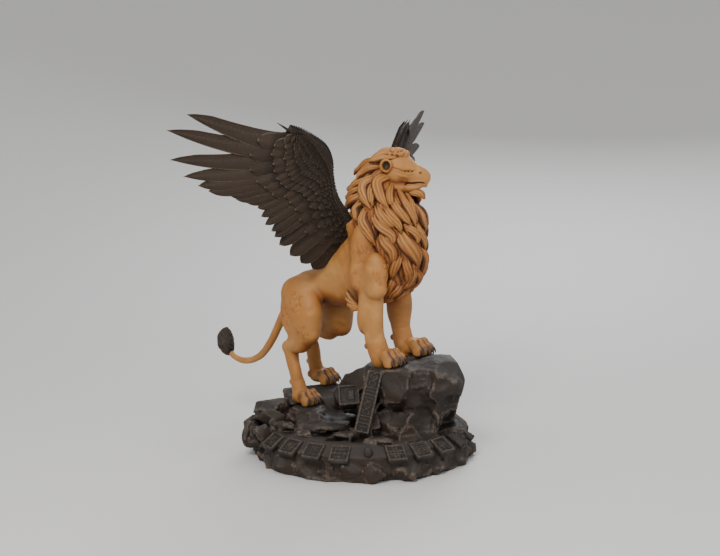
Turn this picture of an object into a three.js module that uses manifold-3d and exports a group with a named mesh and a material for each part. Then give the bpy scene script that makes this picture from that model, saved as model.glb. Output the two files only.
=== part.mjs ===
// A winged griffin, lion-bodied and eagle-beaked, standing on a ruined stone plinth.
// Millimetres, +Z up, the griffin faces +X and its left side is +Y.
// The origin is the centre of the plinth's underside.
import * as THREE from "three";
import { ConvexGeometry } from "three/addons/geometries/ConvexGeometry.js";
import { LoftGeometry } from "three/addons/geometries/LoftGeometry.js";
import { mergeVertices } from "three/addons/utils/BufferGeometryUtils.js";
import Module from "manifold-3d";

const wasm = await Module();
wasm.setup();

// Driving dimension of the figure: from the terrace to its wing tips.
const FIGURE_HEIGHT = 256;

// Driving dimensions of the plinth: a broken rim, a sloping band of carved tiles, a flat terrace.
const PLINTH_RADIUS = 99;
const RIM_HEIGHT = 17;
const RIM_CHIP_DEPTH = 8;
const RIM_BLOCKS = 14;
const TERRACE_RADIUS = 80;
const TERRACE_HEIGHT = 29;
const TILE_SIZE = 15.5;
const TILE_RAISE = 1.8;
const TILE_RIM = 1.8;
const TILE_SPACING = 14.2;

// The crag's two carvings, on the figure's grid: a square framed tile and a tall panel.
const FRAMED_SIZE = 17;
const FRAMED_RAISE = 2.5;
const FRAMED_RIM = 2.4;
const PANEL_LENGTH = 50;
const PANEL_WIDTH = 12;
const PANEL_RAISE = 3;
const PANEL_RIM = 1.6;

// Clearance between the paws and the rock they stand on.
const SEAT_GAP = 0.3;

// The figure is drawn on a grid of 256 parts to its height; the grid's level 29 is the terrace.
const UNIT = FIGURE_HEIGHT / 256;
const GRID_FLOOR = 29;
const LEAST_RADIUS = 0.15 * UNIT;
const DEGREE = Math.PI / 180;
const ACROSS = new THREE.Vector3(0, 1, 0);
const UPWARD = new THREE.Vector3(0, 0, 1);

// A point of the figure's grid, in the part's frame.
const place = (x, y, z) =>
  new THREE.Vector3(x * UNIT, y * UNIT, TERRACE_HEIGHT + (z - GRID_FLOOR) * UNIT);

// A fixed scatter between 0 and 1 for the n-th chip or stone.
const scatter = (n) => {
  const wave = Math.sin(n * 12.9898 + 4.137) * 43758.5453;
  return wave - Math.floor(wave);
};

// Solids: a closed geometry becomes a solid for joining and cutting, and back.
function solidOf(geometry) {
  const bare = new THREE.BufferGeometry().copy(geometry);
  bare.deleteAttribute("normal");
  bare.deleteAttribute("uv");
  const merged = mergeVertices(bare, 1e-4);
  const mesh = new wasm.Mesh({
    numProp: 3,
    vertProperties: new Float32Array(merged.attributes.position.array),
    triVerts: new Uint32Array(merged.index.array),
  });
  return new wasm.Manifold(mesh);
}

function geometryOf(solid) {
  const mesh = solid.getMesh();
  const geometry = new THREE.BufferGeometry();
  geometry.setAttribute("position", new THREE.BufferAttribute(mesh.vertProperties, 3));
  geometry.setIndex(new THREE.BufferAttribute(mesh.triVerts, 1));
  geometry.computeVertexNormals();
  return geometry;
}

const join = (geometries) => geometries.map(solidOf).reduce((whole, next) => whole.add(next));

// Small pockets shut in between overlapping forms are filled: only the outer skin is kept.
const withoutPockets = (solid) =>
  solidOf(geometryOf(solid))
    .decompose()
    .reduce((best, next) => (next.volume() > best.volume() ? next : best));

// The same form on the griffin's other side.
function mirrored(geometry) {
  const twin = new THREE.BufferGeometry().copy(geometry).scale(1, -1, 1);
  const index = twin.index.array;
  for (let i = 0; i < index.length; i += 3) {
    [index[i + 1], index[i + 2]] = [index[i + 2], index[i + 1]];
  }
  return twin;
}

// An oval ring round a point, square to a direction of travel.
function ring(centre, along, across, wide, deep, sides, turn) {
  const side = across.clone().addScaledVector(along, -across.dot(along)).normalize();
  const depth = along.clone().cross(side);
  const points = [];
  for (let i = 0; i < sides; i += 1) {
    const angle = (2 * Math.PI * (i + turn)) / sides;
    points.push(
      centre
        .clone()
        .addScaledVector(side, wide * Math.cos(angle))
        .addScaledVector(depth, deep * Math.sin(angle)),
    );
  }
  return points;
}

// Skins a form through stations of { at, wide, deep }: a smooth path with oval sections.
function skin(stations, { sides = 10, steps = 10, across = ACROSS, turn = 0.5 } = {}) {
  const path = new THREE.CatmullRomCurve3(stations.map((s) => s.at));
  const sizes = new THREE.CatmullRomCurve3(
    stations.map((s) => new THREE.Vector3(s.wide, s.deep, 0)),
  );
  const rings = [];
  for (let i = 0; i <= steps; i += 1) {
    const t = i / steps;
    const size = sizes.getPoint(t);
    const wide = Math.max(size.x, LEAST_RADIUS);
    const deep = Math.max(size.y, LEAST_RADIUS);
    rings.push(ring(path.getPoint(t), path.getTangent(t), across, wide, deep, sides, turn));
  }
  return new LoftGeometry(rings, { capStart: true, capEnd: true });
}

// A limb through rows of [x, y, z, half width across, half depth] on the figure's grid.
const limb = (rows, options) =>
  skin(
    rows.map(([x, y, z, wide, deep]) => ({
      at: place(x, y, z),
      wide: wide * UNIT,
      deep: deep * UNIT,
    })),
    options,
  );

// A rounded mass on the figure's grid: its centre, three half sizes and a pitch about Y.
function mass([x, y, z], [along, wide, high], pitch = 0, sides = 10) {
  const geometry = new THREE.SphereGeometry(1, sides, Math.ceil(sides * 0.7));
  geometry.rotateX(Math.PI / 2);
  geometry.scale(along * UNIT, wide * UNIT, high * UNIT);
  geometry.rotateY(pitch * DEGREE);
  const centre = place(x, y, z);
  return geometry.translate(centre.x, centre.y, centre.z);
}

// The body: a lean barrel that climbs from the rump to deep shoulders.
const torso = () =>
  limb(
    [
      [-80, 0, 126, 3, 3],
      [-74, 0, 128, 11, 9],
      [-65, 0, 132, 16.5, 12],
      [-52, 0, 136, 19, 15],
      [-38, 0, 139, 18.5, 16],
      [-24, 0, 144, 17.5, 20],
      [-8, 0, 152, 20, 28],
      [9, 0, 161, 22, 35],
      [24, 0, 168, 20, 34],
      [35, 0, 172, 10, 20],
    ],
    { sides: 12, steps: 10 },
  );

// The legs' track and the left feet's stagger behind the right ones.
const FORE_TRACK = 21.5;
const FORE_STAGGER = 4.5;
const HIND_TRACK = 21;
const HIND_STAGGER = 15;
const HIND_RISE = 9;

// One foreleg, from the shoulder blade down to the wrist.
function foreleg(side) {
  const y = side * FORE_TRACK;
  const back = side > 0 ? FORE_STAGGER : 0;
  return limb(
    [
      [6, y * 0.55, 194, 4, 6],
      [14, y * 0.8, 180, 9, 13],
      [20 - back, y * 0.97, 160, 11.5, 15],
      [24 - back, y, 140, 10.8, 13.8],
      [24.5 - back, y, 122, 9.6, 12],
      [27.5 - back, y, 106, 8.6, 9.6],
      [31.5 - back, y * 0.98, 95, 8, 8.2],
      [34.5 - back, y * 0.97, 88.5, 7.2, 5.4],
    ],
    { sides: 8, steps: 8 },
  );
}

// One hind leg: haunch, knee, hock and shank. The left one stands further back and higher, more so
// the lower down it is: low runs 0 to 1.
function hindLeg(side) {
  const left = side > 0 ? 1 : 0;
  const y = side * HIND_TRACK;
  const row = (x, spread, z, wide, deep, low) => [
    x - HIND_STAGGER * left * low,
    y * spread,
    z + HIND_RISE * left * low,
    wide,
    deep,
  ];
  return limb(
    [
      row(-53, 0.4, 143, 6, 8, 0),
      row(-53, 0.8, 134, 10.6, 14.8, 0),
      row(-47, 0.98, 121, 11.6, 16.6, 0),
      row(-43, 1.05, 107, 10.4, 13.8, 0.1),
      row(-49, 1.03, 95, 8, 10, 0.4),
      row(-60, 1, 86, 6.4, 7.6, 0.75),
      row(-60.5, 0.98, 76, 5.5, 6, 0.9),
      row(-57, 0.98, 64, 5.2, 5.4, 1),
      row(-54, 0.98, 54, 5.6, 5.8, 1),
      row(-51, 0.98, 46, 6.6, 5.6, 1),
    ],
    { sides: 8, steps: 12 },
  );
}

// A paw that points along +X: a pad, four knuckled toes and their hooked claws. heel is the middle
// of the pad on its sole. A paw is drawn on a grid of 28 parts to its size.
const PAW_GRID = 28;

function paw([x, y, z], size) {
  const k = size / PAW_GRID;
  const parts = [mass([x, y, z + 7 * k], [12 * k, 10.5 * k, 7 * k], 0, 7)];
  for (const step of [-1.5, -0.5, 0.5, 1.5]) {
    const reach = (Math.abs(step) < 1 ? 3 : 0) * k;
    const spread = (out) => y + step * out * k;
    parts.push(
      limb(
        [
          [x + 1 * k, spread(4.8), z + 8 * k, 2.6 * k, 3.4 * k],
          [x + 9 * k + reach, spread(6.4), z + 7.6 * k, 3.7 * k, 5 * k],
          [x + 15.5 * k + reach, spread(7), z + 3.8 * k, 2.4 * k, 3 * k],
        ],
        { sides: 5, steps: 2 },
      ),
      limb(
        [
          [x + 13 * k + reach, spread(6.8), z + 6 * k, 1.5 * k, 1.8 * k],
          [x + 18 * k + reach, spread(7.2), z + 4.8 * k, 1.3 * k, 1.4 * k],
          [x + 20 * k + reach, spread(7.4), z + 0.9 * k, 0.3 * k, 0.3 * k],
        ],
        { sides: 3, steps: 2 },
      ),
    );
  }
  return parts;
}

// Where each paw's heel stands on the grid, and the paw's size.
const PAWS = [
  { heel: [36, -21, 83.5], size: 23.5 },
  { heel: [35.5, 21, 85.5], size: 23.5 },
  { heel: [-50, -20.5, 38], size: 21.5 },
  { heel: [-63, 20.5, 47], size: 22.5 },
];

// The tail: it drops behind the haunches, turns up and ends in an oval tuft.
function tail() {
  return [
    limb(
      [
        [-73, 0, 134, 5, 5],
        [-79, 0, 125, 4.4, 4.4],
        [-86, 0, 111, 3.6, 3.6],
        [-93, 0, 98, 3.2, 3.2],
        [-101, 0, 84, 3, 3],
        [-112, 0, 70, 2.8, 2.8],
        [-124, 0, 62.5, 2.6, 2.6],
        [-136, 0, 60, 2.4, 2.4],
        [-147, 0, 62, 2.3, 2.3],
        [-155, 0, 68, 2.3, 2.3],
      ],
      { sides: 6, steps: 13 },
    ),
    limb(
      [
        [-150, 0, 63, 2.4, 2.4],
        [-155, 0, 67, 5.4, 5.4],
        [-158, 0, 73, 7.4, 7.4],
        [-158.5, 0, 79.5, 6.8, 6.8],
        [-157, 0, 84.5, 3.8, 3.8],
        [-156, 0, 87, 1.2, 1.2],
      ],
      { sides: 7, steps: 5 },
    ),
  ];
}

// Wings. Each is laid out on its own sheet: s runs outward and t upward from the shoulder.
const WING_ROOT = [0.7, -16, 188.4];
const WING_SWEEP = 25;
const WING_LEAN = 10;
const WING_FOLD = 26;
const WING_TUCK = 11;
const WING_DROOP = 5;
const FLIGHT_FEATHERS = 17;
const BROAD_FEATHERS = 4;

const sheetCurve = (points) =>
  new THREE.CatmullRomCurve3(points.map(([s, t]) => new THREE.Vector3(s, t, 0)));

// The wing's front edge from the hand to the shoulder, and the line of the feather tips below it.
const FRONT_EDGE = sheetCurve([
  [62, 88],
  [50, 85],
  [38, 79],
  [29, 72],
  [24, 62],
  [22, 48],
  [17, 33],
  [8, 20],
  [-2, 8],
]);
const TIP_LINE = sheetCurve([
  [137, 102],
  [161, 75],
  [141, 45],
  [115, 35],
  [93, 26],
  [80, 9],
  [68, -9],
  [48, -25],
  [22, -36],
]);

// A point of the right wing: share runs along the span from hand 0 to shoulder 1, reach from the
// front edge 0 to the feather tips 1, and lift is off the sheet towards the back.
function wingPoint(share, reach, lift) {
  const sweep = WING_SWEEP * DEGREE;
  const lean = WING_LEAN * DEGREE;
  const out = new THREE.Vector3(-Math.sin(sweep), -Math.cos(sweep), 0);
  const back = new THREE.Vector3(-Math.cos(sweep), Math.sin(sweep), 0);
  const rise = UPWARD.clone().multiplyScalar(Math.cos(lean)).addScaledVector(back, -Math.sin(lean));
  const off = out.clone().cross(rise);
  const on = FRONT_EDGE.getPoint(share).lerp(TIP_LINE.getPoint(share), reach);
  const fold = WING_FOLD * reach * Math.max(0, (share - 0.55) / 0.45) ** 2;
  const tuck = reach * Math.max(0, (share - 0.7) / 0.3) ** 2;
  const [x, y, z] = WING_ROOT;
  return place(x, y, z)
    .addScaledVector(out, on.x * UNIT)
    .addScaledVector(rise, on.y * UNIT)
    .addScaledVector(off, (fold + lift) * UNIT)
    .addScaledVector(ACROSS, WING_TUCK * tuck * UNIT)
    .addScaledVector(UPWARD, -WING_DROOP * tuck * UNIT);
}

// One slice of the wing from its front edge to the feather tips and back: rows of
// [reach, lift]. crest is 1 on a feather's midrib and 0 in the seam between two feathers.
function wingSlice(share, crest) {
  const smooth = crest * crest * (3 - 2 * crest);
  const notch = 0.07 + 0.16 * Math.max(0, 1 - share / 0.4);
  const tip = 1 - notch * (1 - smooth);
  const coverts = THREE.MathUtils.lerp(0.45, 0.62, share) - 0.05 * crest;
  const lesser = THREE.MathUtils.lerp(0.2, 0.38, share) + 0.05 * crest;
  const edge = THREE.MathUtils.lerp(0.05, 0.12, share);
  const bone = THREE.MathUtils.lerp(3.4, 5.5, share);
  const rib = 1.1 * crest;
  return [
    [0, 0],
    [edge * 0.4, -bone * 0.8],
    [edge * 1.6, -bone],
    [lesser, -3.4 + 0.6 * crest],
    [lesser + 0.02, -2.2 + 0.6 * crest],
    [coverts, -2.7 - 0.4 * crest],
    [coverts + 0.02, -1.1 - rib * 0.6],
    [tip - 0.1, -0.8 - rib],
    [tip, -0.35],
    [tip, 0.35],
    [tip - 0.1, 0.7 + rib * 0.6],
    [coverts, 1 + rib * 0.6],
    [edge, bone * 0.8],
  ].map(([reach, lift]) => wingPoint(share, reach, lift));
}

function wing() {
  const slices = [];
  for (let i = 0; i < FLIGHT_FEATHERS; i += 1) {
    const crests = i < BROAD_FEATHERS ? [0, 0.55, 1, 0.55] : [0, 1];
    crests.forEach((crest, j) => {
      slices.push(wingSlice((i + j / crests.length) / FLIGHT_FEATHERS, crest));
    });
  }
  slices.push(wingSlice(1, 0));
  const shoulder = [
    [14, -6, 174, 9, 8],
    [7, -12, 186, 8, 9],
    [1, -17, 196, 5.4, 6.4],
    [-3, -21, 204, 3, 3.4],
  ];
  const rump = [
    [-12, -8, 166, 6, 12],
    [-24, -11, 162, 6, 9],
    [-36, -13, 156, 3, 5],
  ];
  return [
    new LoftGeometry(slices, { capStart: true, capEnd: true }),
    limb(shoulder, { sides: 7, steps: 3 }),
    limb(rump, { sides: 6, steps: 2 }),
  ];
}

// The mane's form: an oval column from the head down to the chest, as rows of
// [x, y, z, half depth, half width]. drop runs 0 to 1 down it and turn is the angle from the front.
const MANE_ROWS = [
  [27, 2, 249, 13, 12],
  [20, 1.5, 234, 18.3, 17],
  [20, 1, 219, 23, 21.6],
  [24, 0.5, 204, 26.8, 25],
  [26.5, 0, 189, 27.5, 24.5],
  [28.5, 0, 174, 26.5, 22],
  [30, 0, 159, 22, 17.5],
  [30.5, 0, 145, 13.5, 11],
  [28.5, 0, 131, 3, 3],
];
const MANE_COLUMN = new THREE.CatmullRomCurve3(MANE_ROWS.map(([x, y, z]) => place(x, y, z)));
const MANE_GIRTH = new THREE.CatmullRomCurve3(
  MANE_ROWS.map((row) => new THREE.Vector3(row[3] * UNIT, row[4] * UNIT, 0)),
);

function manePoint(drop, turn, lift = 0) {
  const girth = MANE_GIRTH.getPoint(drop);
  return MANE_COLUMN.getPoint(drop).add(
    new THREE.Vector3(
      (girth.x + lift * UNIT) * Math.cos(turn * DEGREE),
      (girth.y + lift * UNIT) * Math.sin(turn * DEGREE),
      0,
    ),
  );
}

// The mane hangs in tiers of pointed locks, each tier tucked under the tips of the one above. The
// locks sweep back round the neck, in degrees, and no two hang quite alike.
const MANE_TIERS = 7;
const MANE_LOCKS = 11;
const MANE_TOP = 0.012;
const MANE_SPAN = 0.94;
const LOCK_SWEEP = 70;
const LOCK_SCATTER = 60;

// One ring of a tier: fall and lift hold the value in the grooves, then the value on the locks.
function maneRing(tier, fall, lift, spare) {
  const points = [];
  for (let i = 2 * MANE_LOCKS; i > 0; i -= 1) {
    const crest = i % 2;
    const base = (180 * (i + (tier % 2))) / MANE_LOCKS;
    const uneven = scatter(tier * 29 + (i >> 1)) - 0.5;
    const swing = fall[crest] * (LOCK_SWEEP * Math.sin(base * DEGREE) - LOCK_SCATTER * uneven);
    const start = MANE_TOP + (MANE_SPAN * tier) / MANE_TIERS;
    const drop = start + fall[crest] * (1 + 0.3 * uneven);
    points.push(manePoint(Math.min(drop, 0.998), base - swing, lift[crest] * spare));
  }
  return points;
}

function mane() {
  const rings = [];
  for (let tier = 0; tier < MANE_TIERS; tier += 1) {
    const spare = tier < MANE_TIERS - 1 ? 1 : 0.5;
    rings.push(
      maneRing(tier, [0, 0], [-1.5, -1.5], spare),
      maneRing(tier, [0.07, 0.09], [0.2, 3], spare),
      maneRing(tier, [0.125, 0.19], [-0.4, 3.8], spare),
    );
  }
  return new LoftGeometry(rings, { capStart: true, capEnd: true });
}

// The head: its own grid of forward, left and up from the middle of the skull.
const HEAD_TURN = 24;
const SKULL = [33, 2, 241];

function headPlace(forward, left, up) {
  const turned = new THREE.Vector3(forward, left, up).applyAxisAngle(UPWARD, HEAD_TURN * DEGREE);
  return place(SKULL[0] + turned.x, SKULL[1] + turned.y, SKULL[2] + turned.z);
}

const headAcross = ACROSS.clone().applyAxisAngle(UPWARD, HEAD_TURN * DEGREE);

const headForm = (rows, options) =>
  skin(
    rows.map(([forward, left, up, wide, deep]) => ({
      at: headPlace(forward, left, up),
      wide: wide * UNIT,
      deep: deep * UNIT,
    })),
    { across: headAcross, ...options },
  );

// A round cupped ear.
function ear(side) {
  const centre = headPlace(-8.5, 11.5 * side, 3);
  const opening = headPlace(-5, 15.5 * side, 3.4);
  const ball = new THREE.SphereGeometry(5.2 * UNIT, 8, 6).translate(...centre.toArray());
  const hollow = new THREE.SphereGeometry(3.4 * UNIT, 6, 4).translate(...opening.toArray());
  return geometryOf(solidOf(ball).subtract(solidOf(hollow)));
}

function head() {
  const parts = [
    headForm(
      [
        [-14, 0, 2, 6, 8],
        [-7, 0, 1.4, 12, 12.4],
        [1, 0, 0.2, 12.6, 13.6],
        [8, 0, -1.4, 10.8, 12.2],
        [14, 0, -4, 8, 9.8],
        [19, 0, -5.4, 5.8, 8.6],
        [23.5, 0, -7.6, 4, 6.4],
        [26.4, 0, -10, 2.4, 4],
      ],
      { sides: 9, steps: 8 },
    ),
    headForm(
      [
        [16, 0, -1.6, 3.6, 3],
        [22, 0, -4.4, 3.2, 3.4],
        [25.6, 0, -9, 2.2, 2.2],
        [26.2, 0, -13, 1.3, 1.3],
        [25.2, 0, -16, 0.3, 0.3],
      ],
      { sides: 6, steps: 5 },
    ),
    headForm(
      [
        [-3, 0, -14.5, 7, 5],
        [8, 0, -17, 6.2, 3.6],
        [16, 0, -17, 4.2, 2.8],
        [23, 0, -15.8, 1.6, 1.2],
      ],
      { sides: 6, steps: 3 },
    ),
    headForm(
      [
        [-11, 0, 9, 5, 3],
        [-4, 0, 12.6, 7.4, 3.8],
        [4, 0, 12.6, 6.8, 3.6],
        [11, 0, 7.6, 3, 2],
      ],
      { sides: 7, steps: 4 },
    ),
    ear(1),
    ear(-1),
  ];
  for (const side of [1, -1]) {
    parts.push(
      headForm(
        [
          [-1, 11 * side, 3, 1.2, 1],
          [6, 9.6 * side, 2.4, 2.6, 1.8],
          [12, 6.8 * side, 0.6, 2, 1.5],
          [15.5, 4.6 * side, -0.8, 0.8, 0.6],
        ],
        { sides: 5, steps: 3 },
      ),
    );
  }
  return parts;
}

// The ragged tuft of hair at each elbow.
function elbowTuft(side) {
  return [0, 1].map((i) =>
    limb(
      [
        [17 - i, 22 * side, 123 + 4 * i, 2.8, 3],
        [12 - i, 25 * side, 128 + 7 * i, 2.6, 2.8],
        [9 - 3 * i, 27 * side, 134 + 9 * i, 0.4, 0.4],
      ],
      { sides: 4, steps: 2 },
    ),
  );
}

function griffin() {
  const rightWing = wing();
  const forms = [
    torso(),
    foreleg(-1),
    foreleg(1),
    hindLeg(-1),
    hindLeg(1),
    ...PAWS.flatMap(({ heel, size }) => paw(heel, size)),
    ...tail(),
    mane(),
    ...head(),
    ...elbowTuft(-1),
    ...elbowTuft(1),
    ...rightWing,
    ...rightWing.map(mirrored),
  ];
  return withoutPockets(join(forms));
}

// The plinth's body: a rim broken into blocks with uneven faces, then the sloping band of tiles.
// Each level of the rim has its share of the rim's height and its cut as a share of the chip depth.
function disc() {
  const perBlock = 3;
  const sides = RIM_BLOCKS * perBlock;
  const levels = [
    [0, 0.6],
    [0.3, 0.25],
    [0.72, 0],
    [1, 0.12],
  ];
  const rings = levels.map(([share, cut], level) => {
    const points = [];
    for (let i = 0; i < sides; i += 1) {
      const block = Math.floor(i / perBlock);
      const corner = i % perBlock;
      const angle = (2 * Math.PI * (i + 0.4 * scatter(block * 3 + 1))) / sides;
      const seam = corner === 0 && level < 3 ? 0.7 : 0;
      const uneven = 0.5 * scatter(block * 7 + level * 3 + corner);
      const radius = PLINTH_RADIUS - RIM_CHIP_DEPTH * Math.min(1, cut + seam + uneven);
      const sag = level === 3 ? -3 * scatter(i * 5 + 2) : 0;
      points.push(
        new THREE.Vector3(
          radius * Math.cos(angle),
          radius * Math.sin(angle),
          share * RIM_HEIGHT + sag,
        ),
      );
    }
    return points;
  });
  const shoulder = rings[3].map(({ x, y }) => {
    const angle = Math.atan2(y, x);
    const radius = TERRACE_RADIUS;
    return new THREE.Vector3(radius * Math.cos(angle), radius * Math.sin(angle), TERRACE_HEIGHT);
  });
  return new LoftGeometry([...rings, shoulder], { capStart: true, capEnd: true });
}

// A broken stone: the hull of scattered points on a blunt block, tipped about its own cross axis
// and turned about Z. STONE_SQUARE is how far its corners reach from a ball's to a box's.
const STONE_SQUARE = 0.8;
const STONE_LEAST = 0.88;
const STONE_SCATTER = 0.16;

function stone([x, y, z], [long, wide, high], turn, tip, seed, points = 12) {
  const golden = Math.PI * (3 - Math.sqrt(5));
  const corners = [];
  for (let i = 0; i < points; i += 1) {
    const level = 1 - (2 * (i + 0.5)) / points;
    const around = golden * i + seed;
    const flat = Math.sqrt(1 - level * level);
    const corner = new THREE.Vector3(flat * Math.cos(around), flat * Math.sin(around), level);
    const square = Math.max(Math.abs(corner.x), Math.abs(corner.y), Math.abs(corner.z));
    corner.multiplyScalar(THREE.MathUtils.lerp(1, 1 / square, STONE_SQUARE));
    corner.multiplyScalar(STONE_LEAST + STONE_SCATTER * scatter(seed * 17 + i));
    corners.push(corner.multiply(new THREE.Vector3(long, wide, high).multiplyScalar(UNIT)));
  }
  const geometry = new ConvexGeometry(corners);
  geometry.rotateY(tip * DEGREE);
  geometry.rotateZ(turn * DEGREE);
  const centre = place(x, y, z);
  return geometry.translate(centre.x, centre.y, centre.z);
}

// The fallen stones: centre, half sizes, turn, tip, seed and corner count.
const STONES = [
  [[-56, 8, 33], [33, 30, 14.5], 30, 0, 11, 14],
  [[-64, -42, 31], [17, 23, 14], 30, 0, 17, 12],
  [[-36, -26, 29], [25, 26, 9.5], 25, 0, 13, 14],
  [[-8, -42, 26], [26, 22, 8], 15, 3, 19, 12],
  [[-42, -66, 30], [11, 10, 7], 30, 0, 23, 10],
  [[-41, -82, 25], [9, 8, 9], 20, 8, 37, 10],
  [[-61, -70, 20], [11, 12, 13], 50, 0, 41, 10],
  [[14, -60, 31], [6, 5, 6], 40, 10, 43, 8],
  [[46, -50, 29], [15, 6, 3.4], 36, 0, 47, 8],
];

// A hull over corner points of the figure's grid.
const hull = (corners) => new ConvexGeometry(corners.map(([x, y, z]) => place(x, y, z)));

// The crag that carries the forepaws: an overhanging head, its foot, the block with the framed
// tile and the stone that the tall panel leans on.
const crag = () => [
  hull([
    [24, -32, 81],
    [46, -37, 82],
    [63, -33, 84],
    [76, -27, 78],
    [90, -17, 82],
    [96, -6, 76],
    [92, 16, 72],
    [84, 16, 85],
    [70, 14, 89],
    [58, 44, 84],
    [14, 34, 82],
    [6, 0, 80],
    [39, -34, 46],
    [63, -30, 61],
    [66, -19, 46],
    [94, 8, 64],
    [84, 18, 48],
    [60, 50, 46],
    [10, 36, 44],
  ]),
  hull([
    [40, -20, 28],
    [75, -10, 28],
    [79, 8, 36],
    [66, -19, 47],
    [84, 18, 49],
    [62, 48, 28],
    [60, 46, 50],
    [12, 44, 28],
    [8, 36, 52],
    [2, 4, 28],
    [20, -20, 52],
  ]),
  hull([
    [-14, -24, 53],
    [0, -22, 73],
    [20, -29, 80],
    [28, -34, 70],
    [26, -38, 50],
    [8, -37, 42],
    [2, -30, 30],
    [-16, -18, 36],
    [24, 8, 80],
    [-6, 8, 62],
    [-6, 4, 28],
    [26, 0, 28],
  ]),
  hull([
    [12, -38, 30],
    [28, -48, 28],
    [42, -47, 30],
    [52, -30, 34],
    [44, -28, 28],
    [14, -32, 50],
    [30, -38, 60],
    [44, -30, 44],
    [20, -20, 28],
    [30, -24, 66],
  ]),
];

// The ledge that each paw stands on: rock is cut level there, a little below the sole. Its sizes
// are on the paw's grid.
const LEDGE_RADIUS = 19.5;
const LEDGE_HEIGHT = 22;
const LEDGE_AHEAD = 6;

function ledge({ heel: [x, y, z], size }) {
  const k = size / PAW_GRID;
  const radius = LEDGE_RADIUS * k * UNIT;
  const high = LEDGE_HEIGHT * k * UNIT;
  const room = new THREE.CylinderGeometry(radius, radius, high, 8);
  room.rotateX(Math.PI / 2);
  const centre = place(x + LEDGE_AHEAD * k, y, z);
  return room.translate(centre.x, centre.y, centre.z - SEAT_GAP + high / 2);
}

// A carved plate: a slab with a sunk field, its back sunk into the stone. It faces the compass
// direction facing, leans back from upright by lean and is rolled in its own plane, in degrees.
function plate({ centre, width, height, raise, rim, facing, lean, roll = 0 }) {
  const set = (geometry) =>
    geometry
      .rotateZ(roll * DEGREE)
      .rotateX((90 - lean) * DEGREE)
      .rotateZ((facing + 90) * DEGREE)
      .translate(centre.x, centre.y, centre.z);
  const slab = new THREE.BoxGeometry(width, height, 2 * raise);
  const field = new THREE.BoxGeometry(width - 2 * rim, height - 2 * rim, raise);
  field.translate(0, 0, raise * 1.1);
  return solidOf(set(slab)).subtract(solidOf(set(field)));
}

// Seven square tiles and two narrow ones, set side by side down the sloping band.
const BAND_FALL = Math.atan2(TERRACE_HEIGHT - RIM_HEIGHT, PLINTH_RADIUS - TERRACE_RADIUS);
const TILE_START = -8;
const TILE_NARROW = 0.55;

function bandTile({ angle, width }) {
  const reach = (PLINTH_RADIUS + TERRACE_RADIUS) / 2 - 0.5;
  const level = (RIM_HEIGHT + TERRACE_HEIGHT) / 2;
  const centre = new THREE.Vector3(
    reach * Math.cos(angle * DEGREE),
    reach * Math.sin(angle * DEGREE),
    level,
  );
  return plate({
    centre,
    width,
    height: TILE_SIZE,
    raise: TILE_RAISE,
    rim: TILE_RIM,
    facing: angle,
    lean: 90 - BAND_FALL / DEGREE,
  });
}

const BAND_TILES = [-7, -6, -5, -4, -2, -1, 0, 1, 2].map((step) => ({
  angle: TILE_START + step * TILE_SPACING,
  width: step > 0 ? TILE_SIZE * TILE_NARROW : TILE_SIZE,
}));

// The two carvings let into the crag: a square framed tile and a tall leaning panel.
const CRAG_FACING = -53;

const framedTile = () =>
  plate({
    centre: place(12.5, -39, 58),
    width: FRAMED_SIZE * UNIT,
    height: FRAMED_SIZE * UNIT,
    raise: FRAMED_RAISE * UNIT,
    rim: FRAMED_RIM * UNIT,
    facing: CRAG_FACING,
    lean: 25,
    roll: 6,
  });

const tallPanel = () =>
  plate({
    centre: place(39, -45, 57.5),
    width: PANEL_WIDTH * UNIT,
    height: PANEL_LENGTH * UNIT,
    raise: PANEL_RAISE * UNIT,
    rim: PANEL_RIM * UNIT,
    facing: CRAG_FACING,
    lean: 8,
    roll: -13,
  });

function plinth() {
  const rock = join([disc(), ...STONES.map((row) => stone(...row)), ...crag()]);
  const pebble = mass([50, -62, 26], [3.4, 2.6, 3.6], 20, 6);
  const carved = [...BAND_TILES.map(bandTile), framedTile(), tallPanel(), solidOf(pebble)];
  const whole = carved.reduce((solid, next) => solid.add(next), rock);
  return withoutPockets(whole.subtract(join(PAWS.map(ledge))));
}

function named(name, solid, color, roughness) {
  const material = new THREE.MeshStandardMaterial({ color, roughness, metalness: 0 });
  const mesh = new THREE.Mesh(geometryOf(solid), material);
  mesh.name = name;
  return mesh;
}

const group = new THREE.Group();
group.add(named("griffin", griffin(), 0xb07a3c, 0.55), named("plinth", plinth(), 0x34302c, 0.7));

export default group;
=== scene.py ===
"""A griffin on its ruined plinth: visual meshes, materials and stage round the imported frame.

Shapes are worked out in millimetres in the row's frame, +X forward, +Y the griffin's left and +Z
up, and are scaled to metres when a mesh is made.
"""
import math

import bmesh
import bpy
import numpy as np
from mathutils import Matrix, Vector


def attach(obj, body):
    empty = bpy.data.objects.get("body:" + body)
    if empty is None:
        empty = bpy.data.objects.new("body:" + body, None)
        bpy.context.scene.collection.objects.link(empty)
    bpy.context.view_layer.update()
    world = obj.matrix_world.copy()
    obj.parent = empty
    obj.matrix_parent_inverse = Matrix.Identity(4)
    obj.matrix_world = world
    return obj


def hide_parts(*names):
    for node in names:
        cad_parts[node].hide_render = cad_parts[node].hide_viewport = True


bl_info = {
    "name": "Griffin statue",
    "version": (1, 0, 0),
    "blender": (4, 5, 0),
    "location": "View3D > Sidebar > Griffin",
    "description": "Builds the griffin, its plinth and a stage round the packed frame",
    "category": "Object",
}

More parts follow.
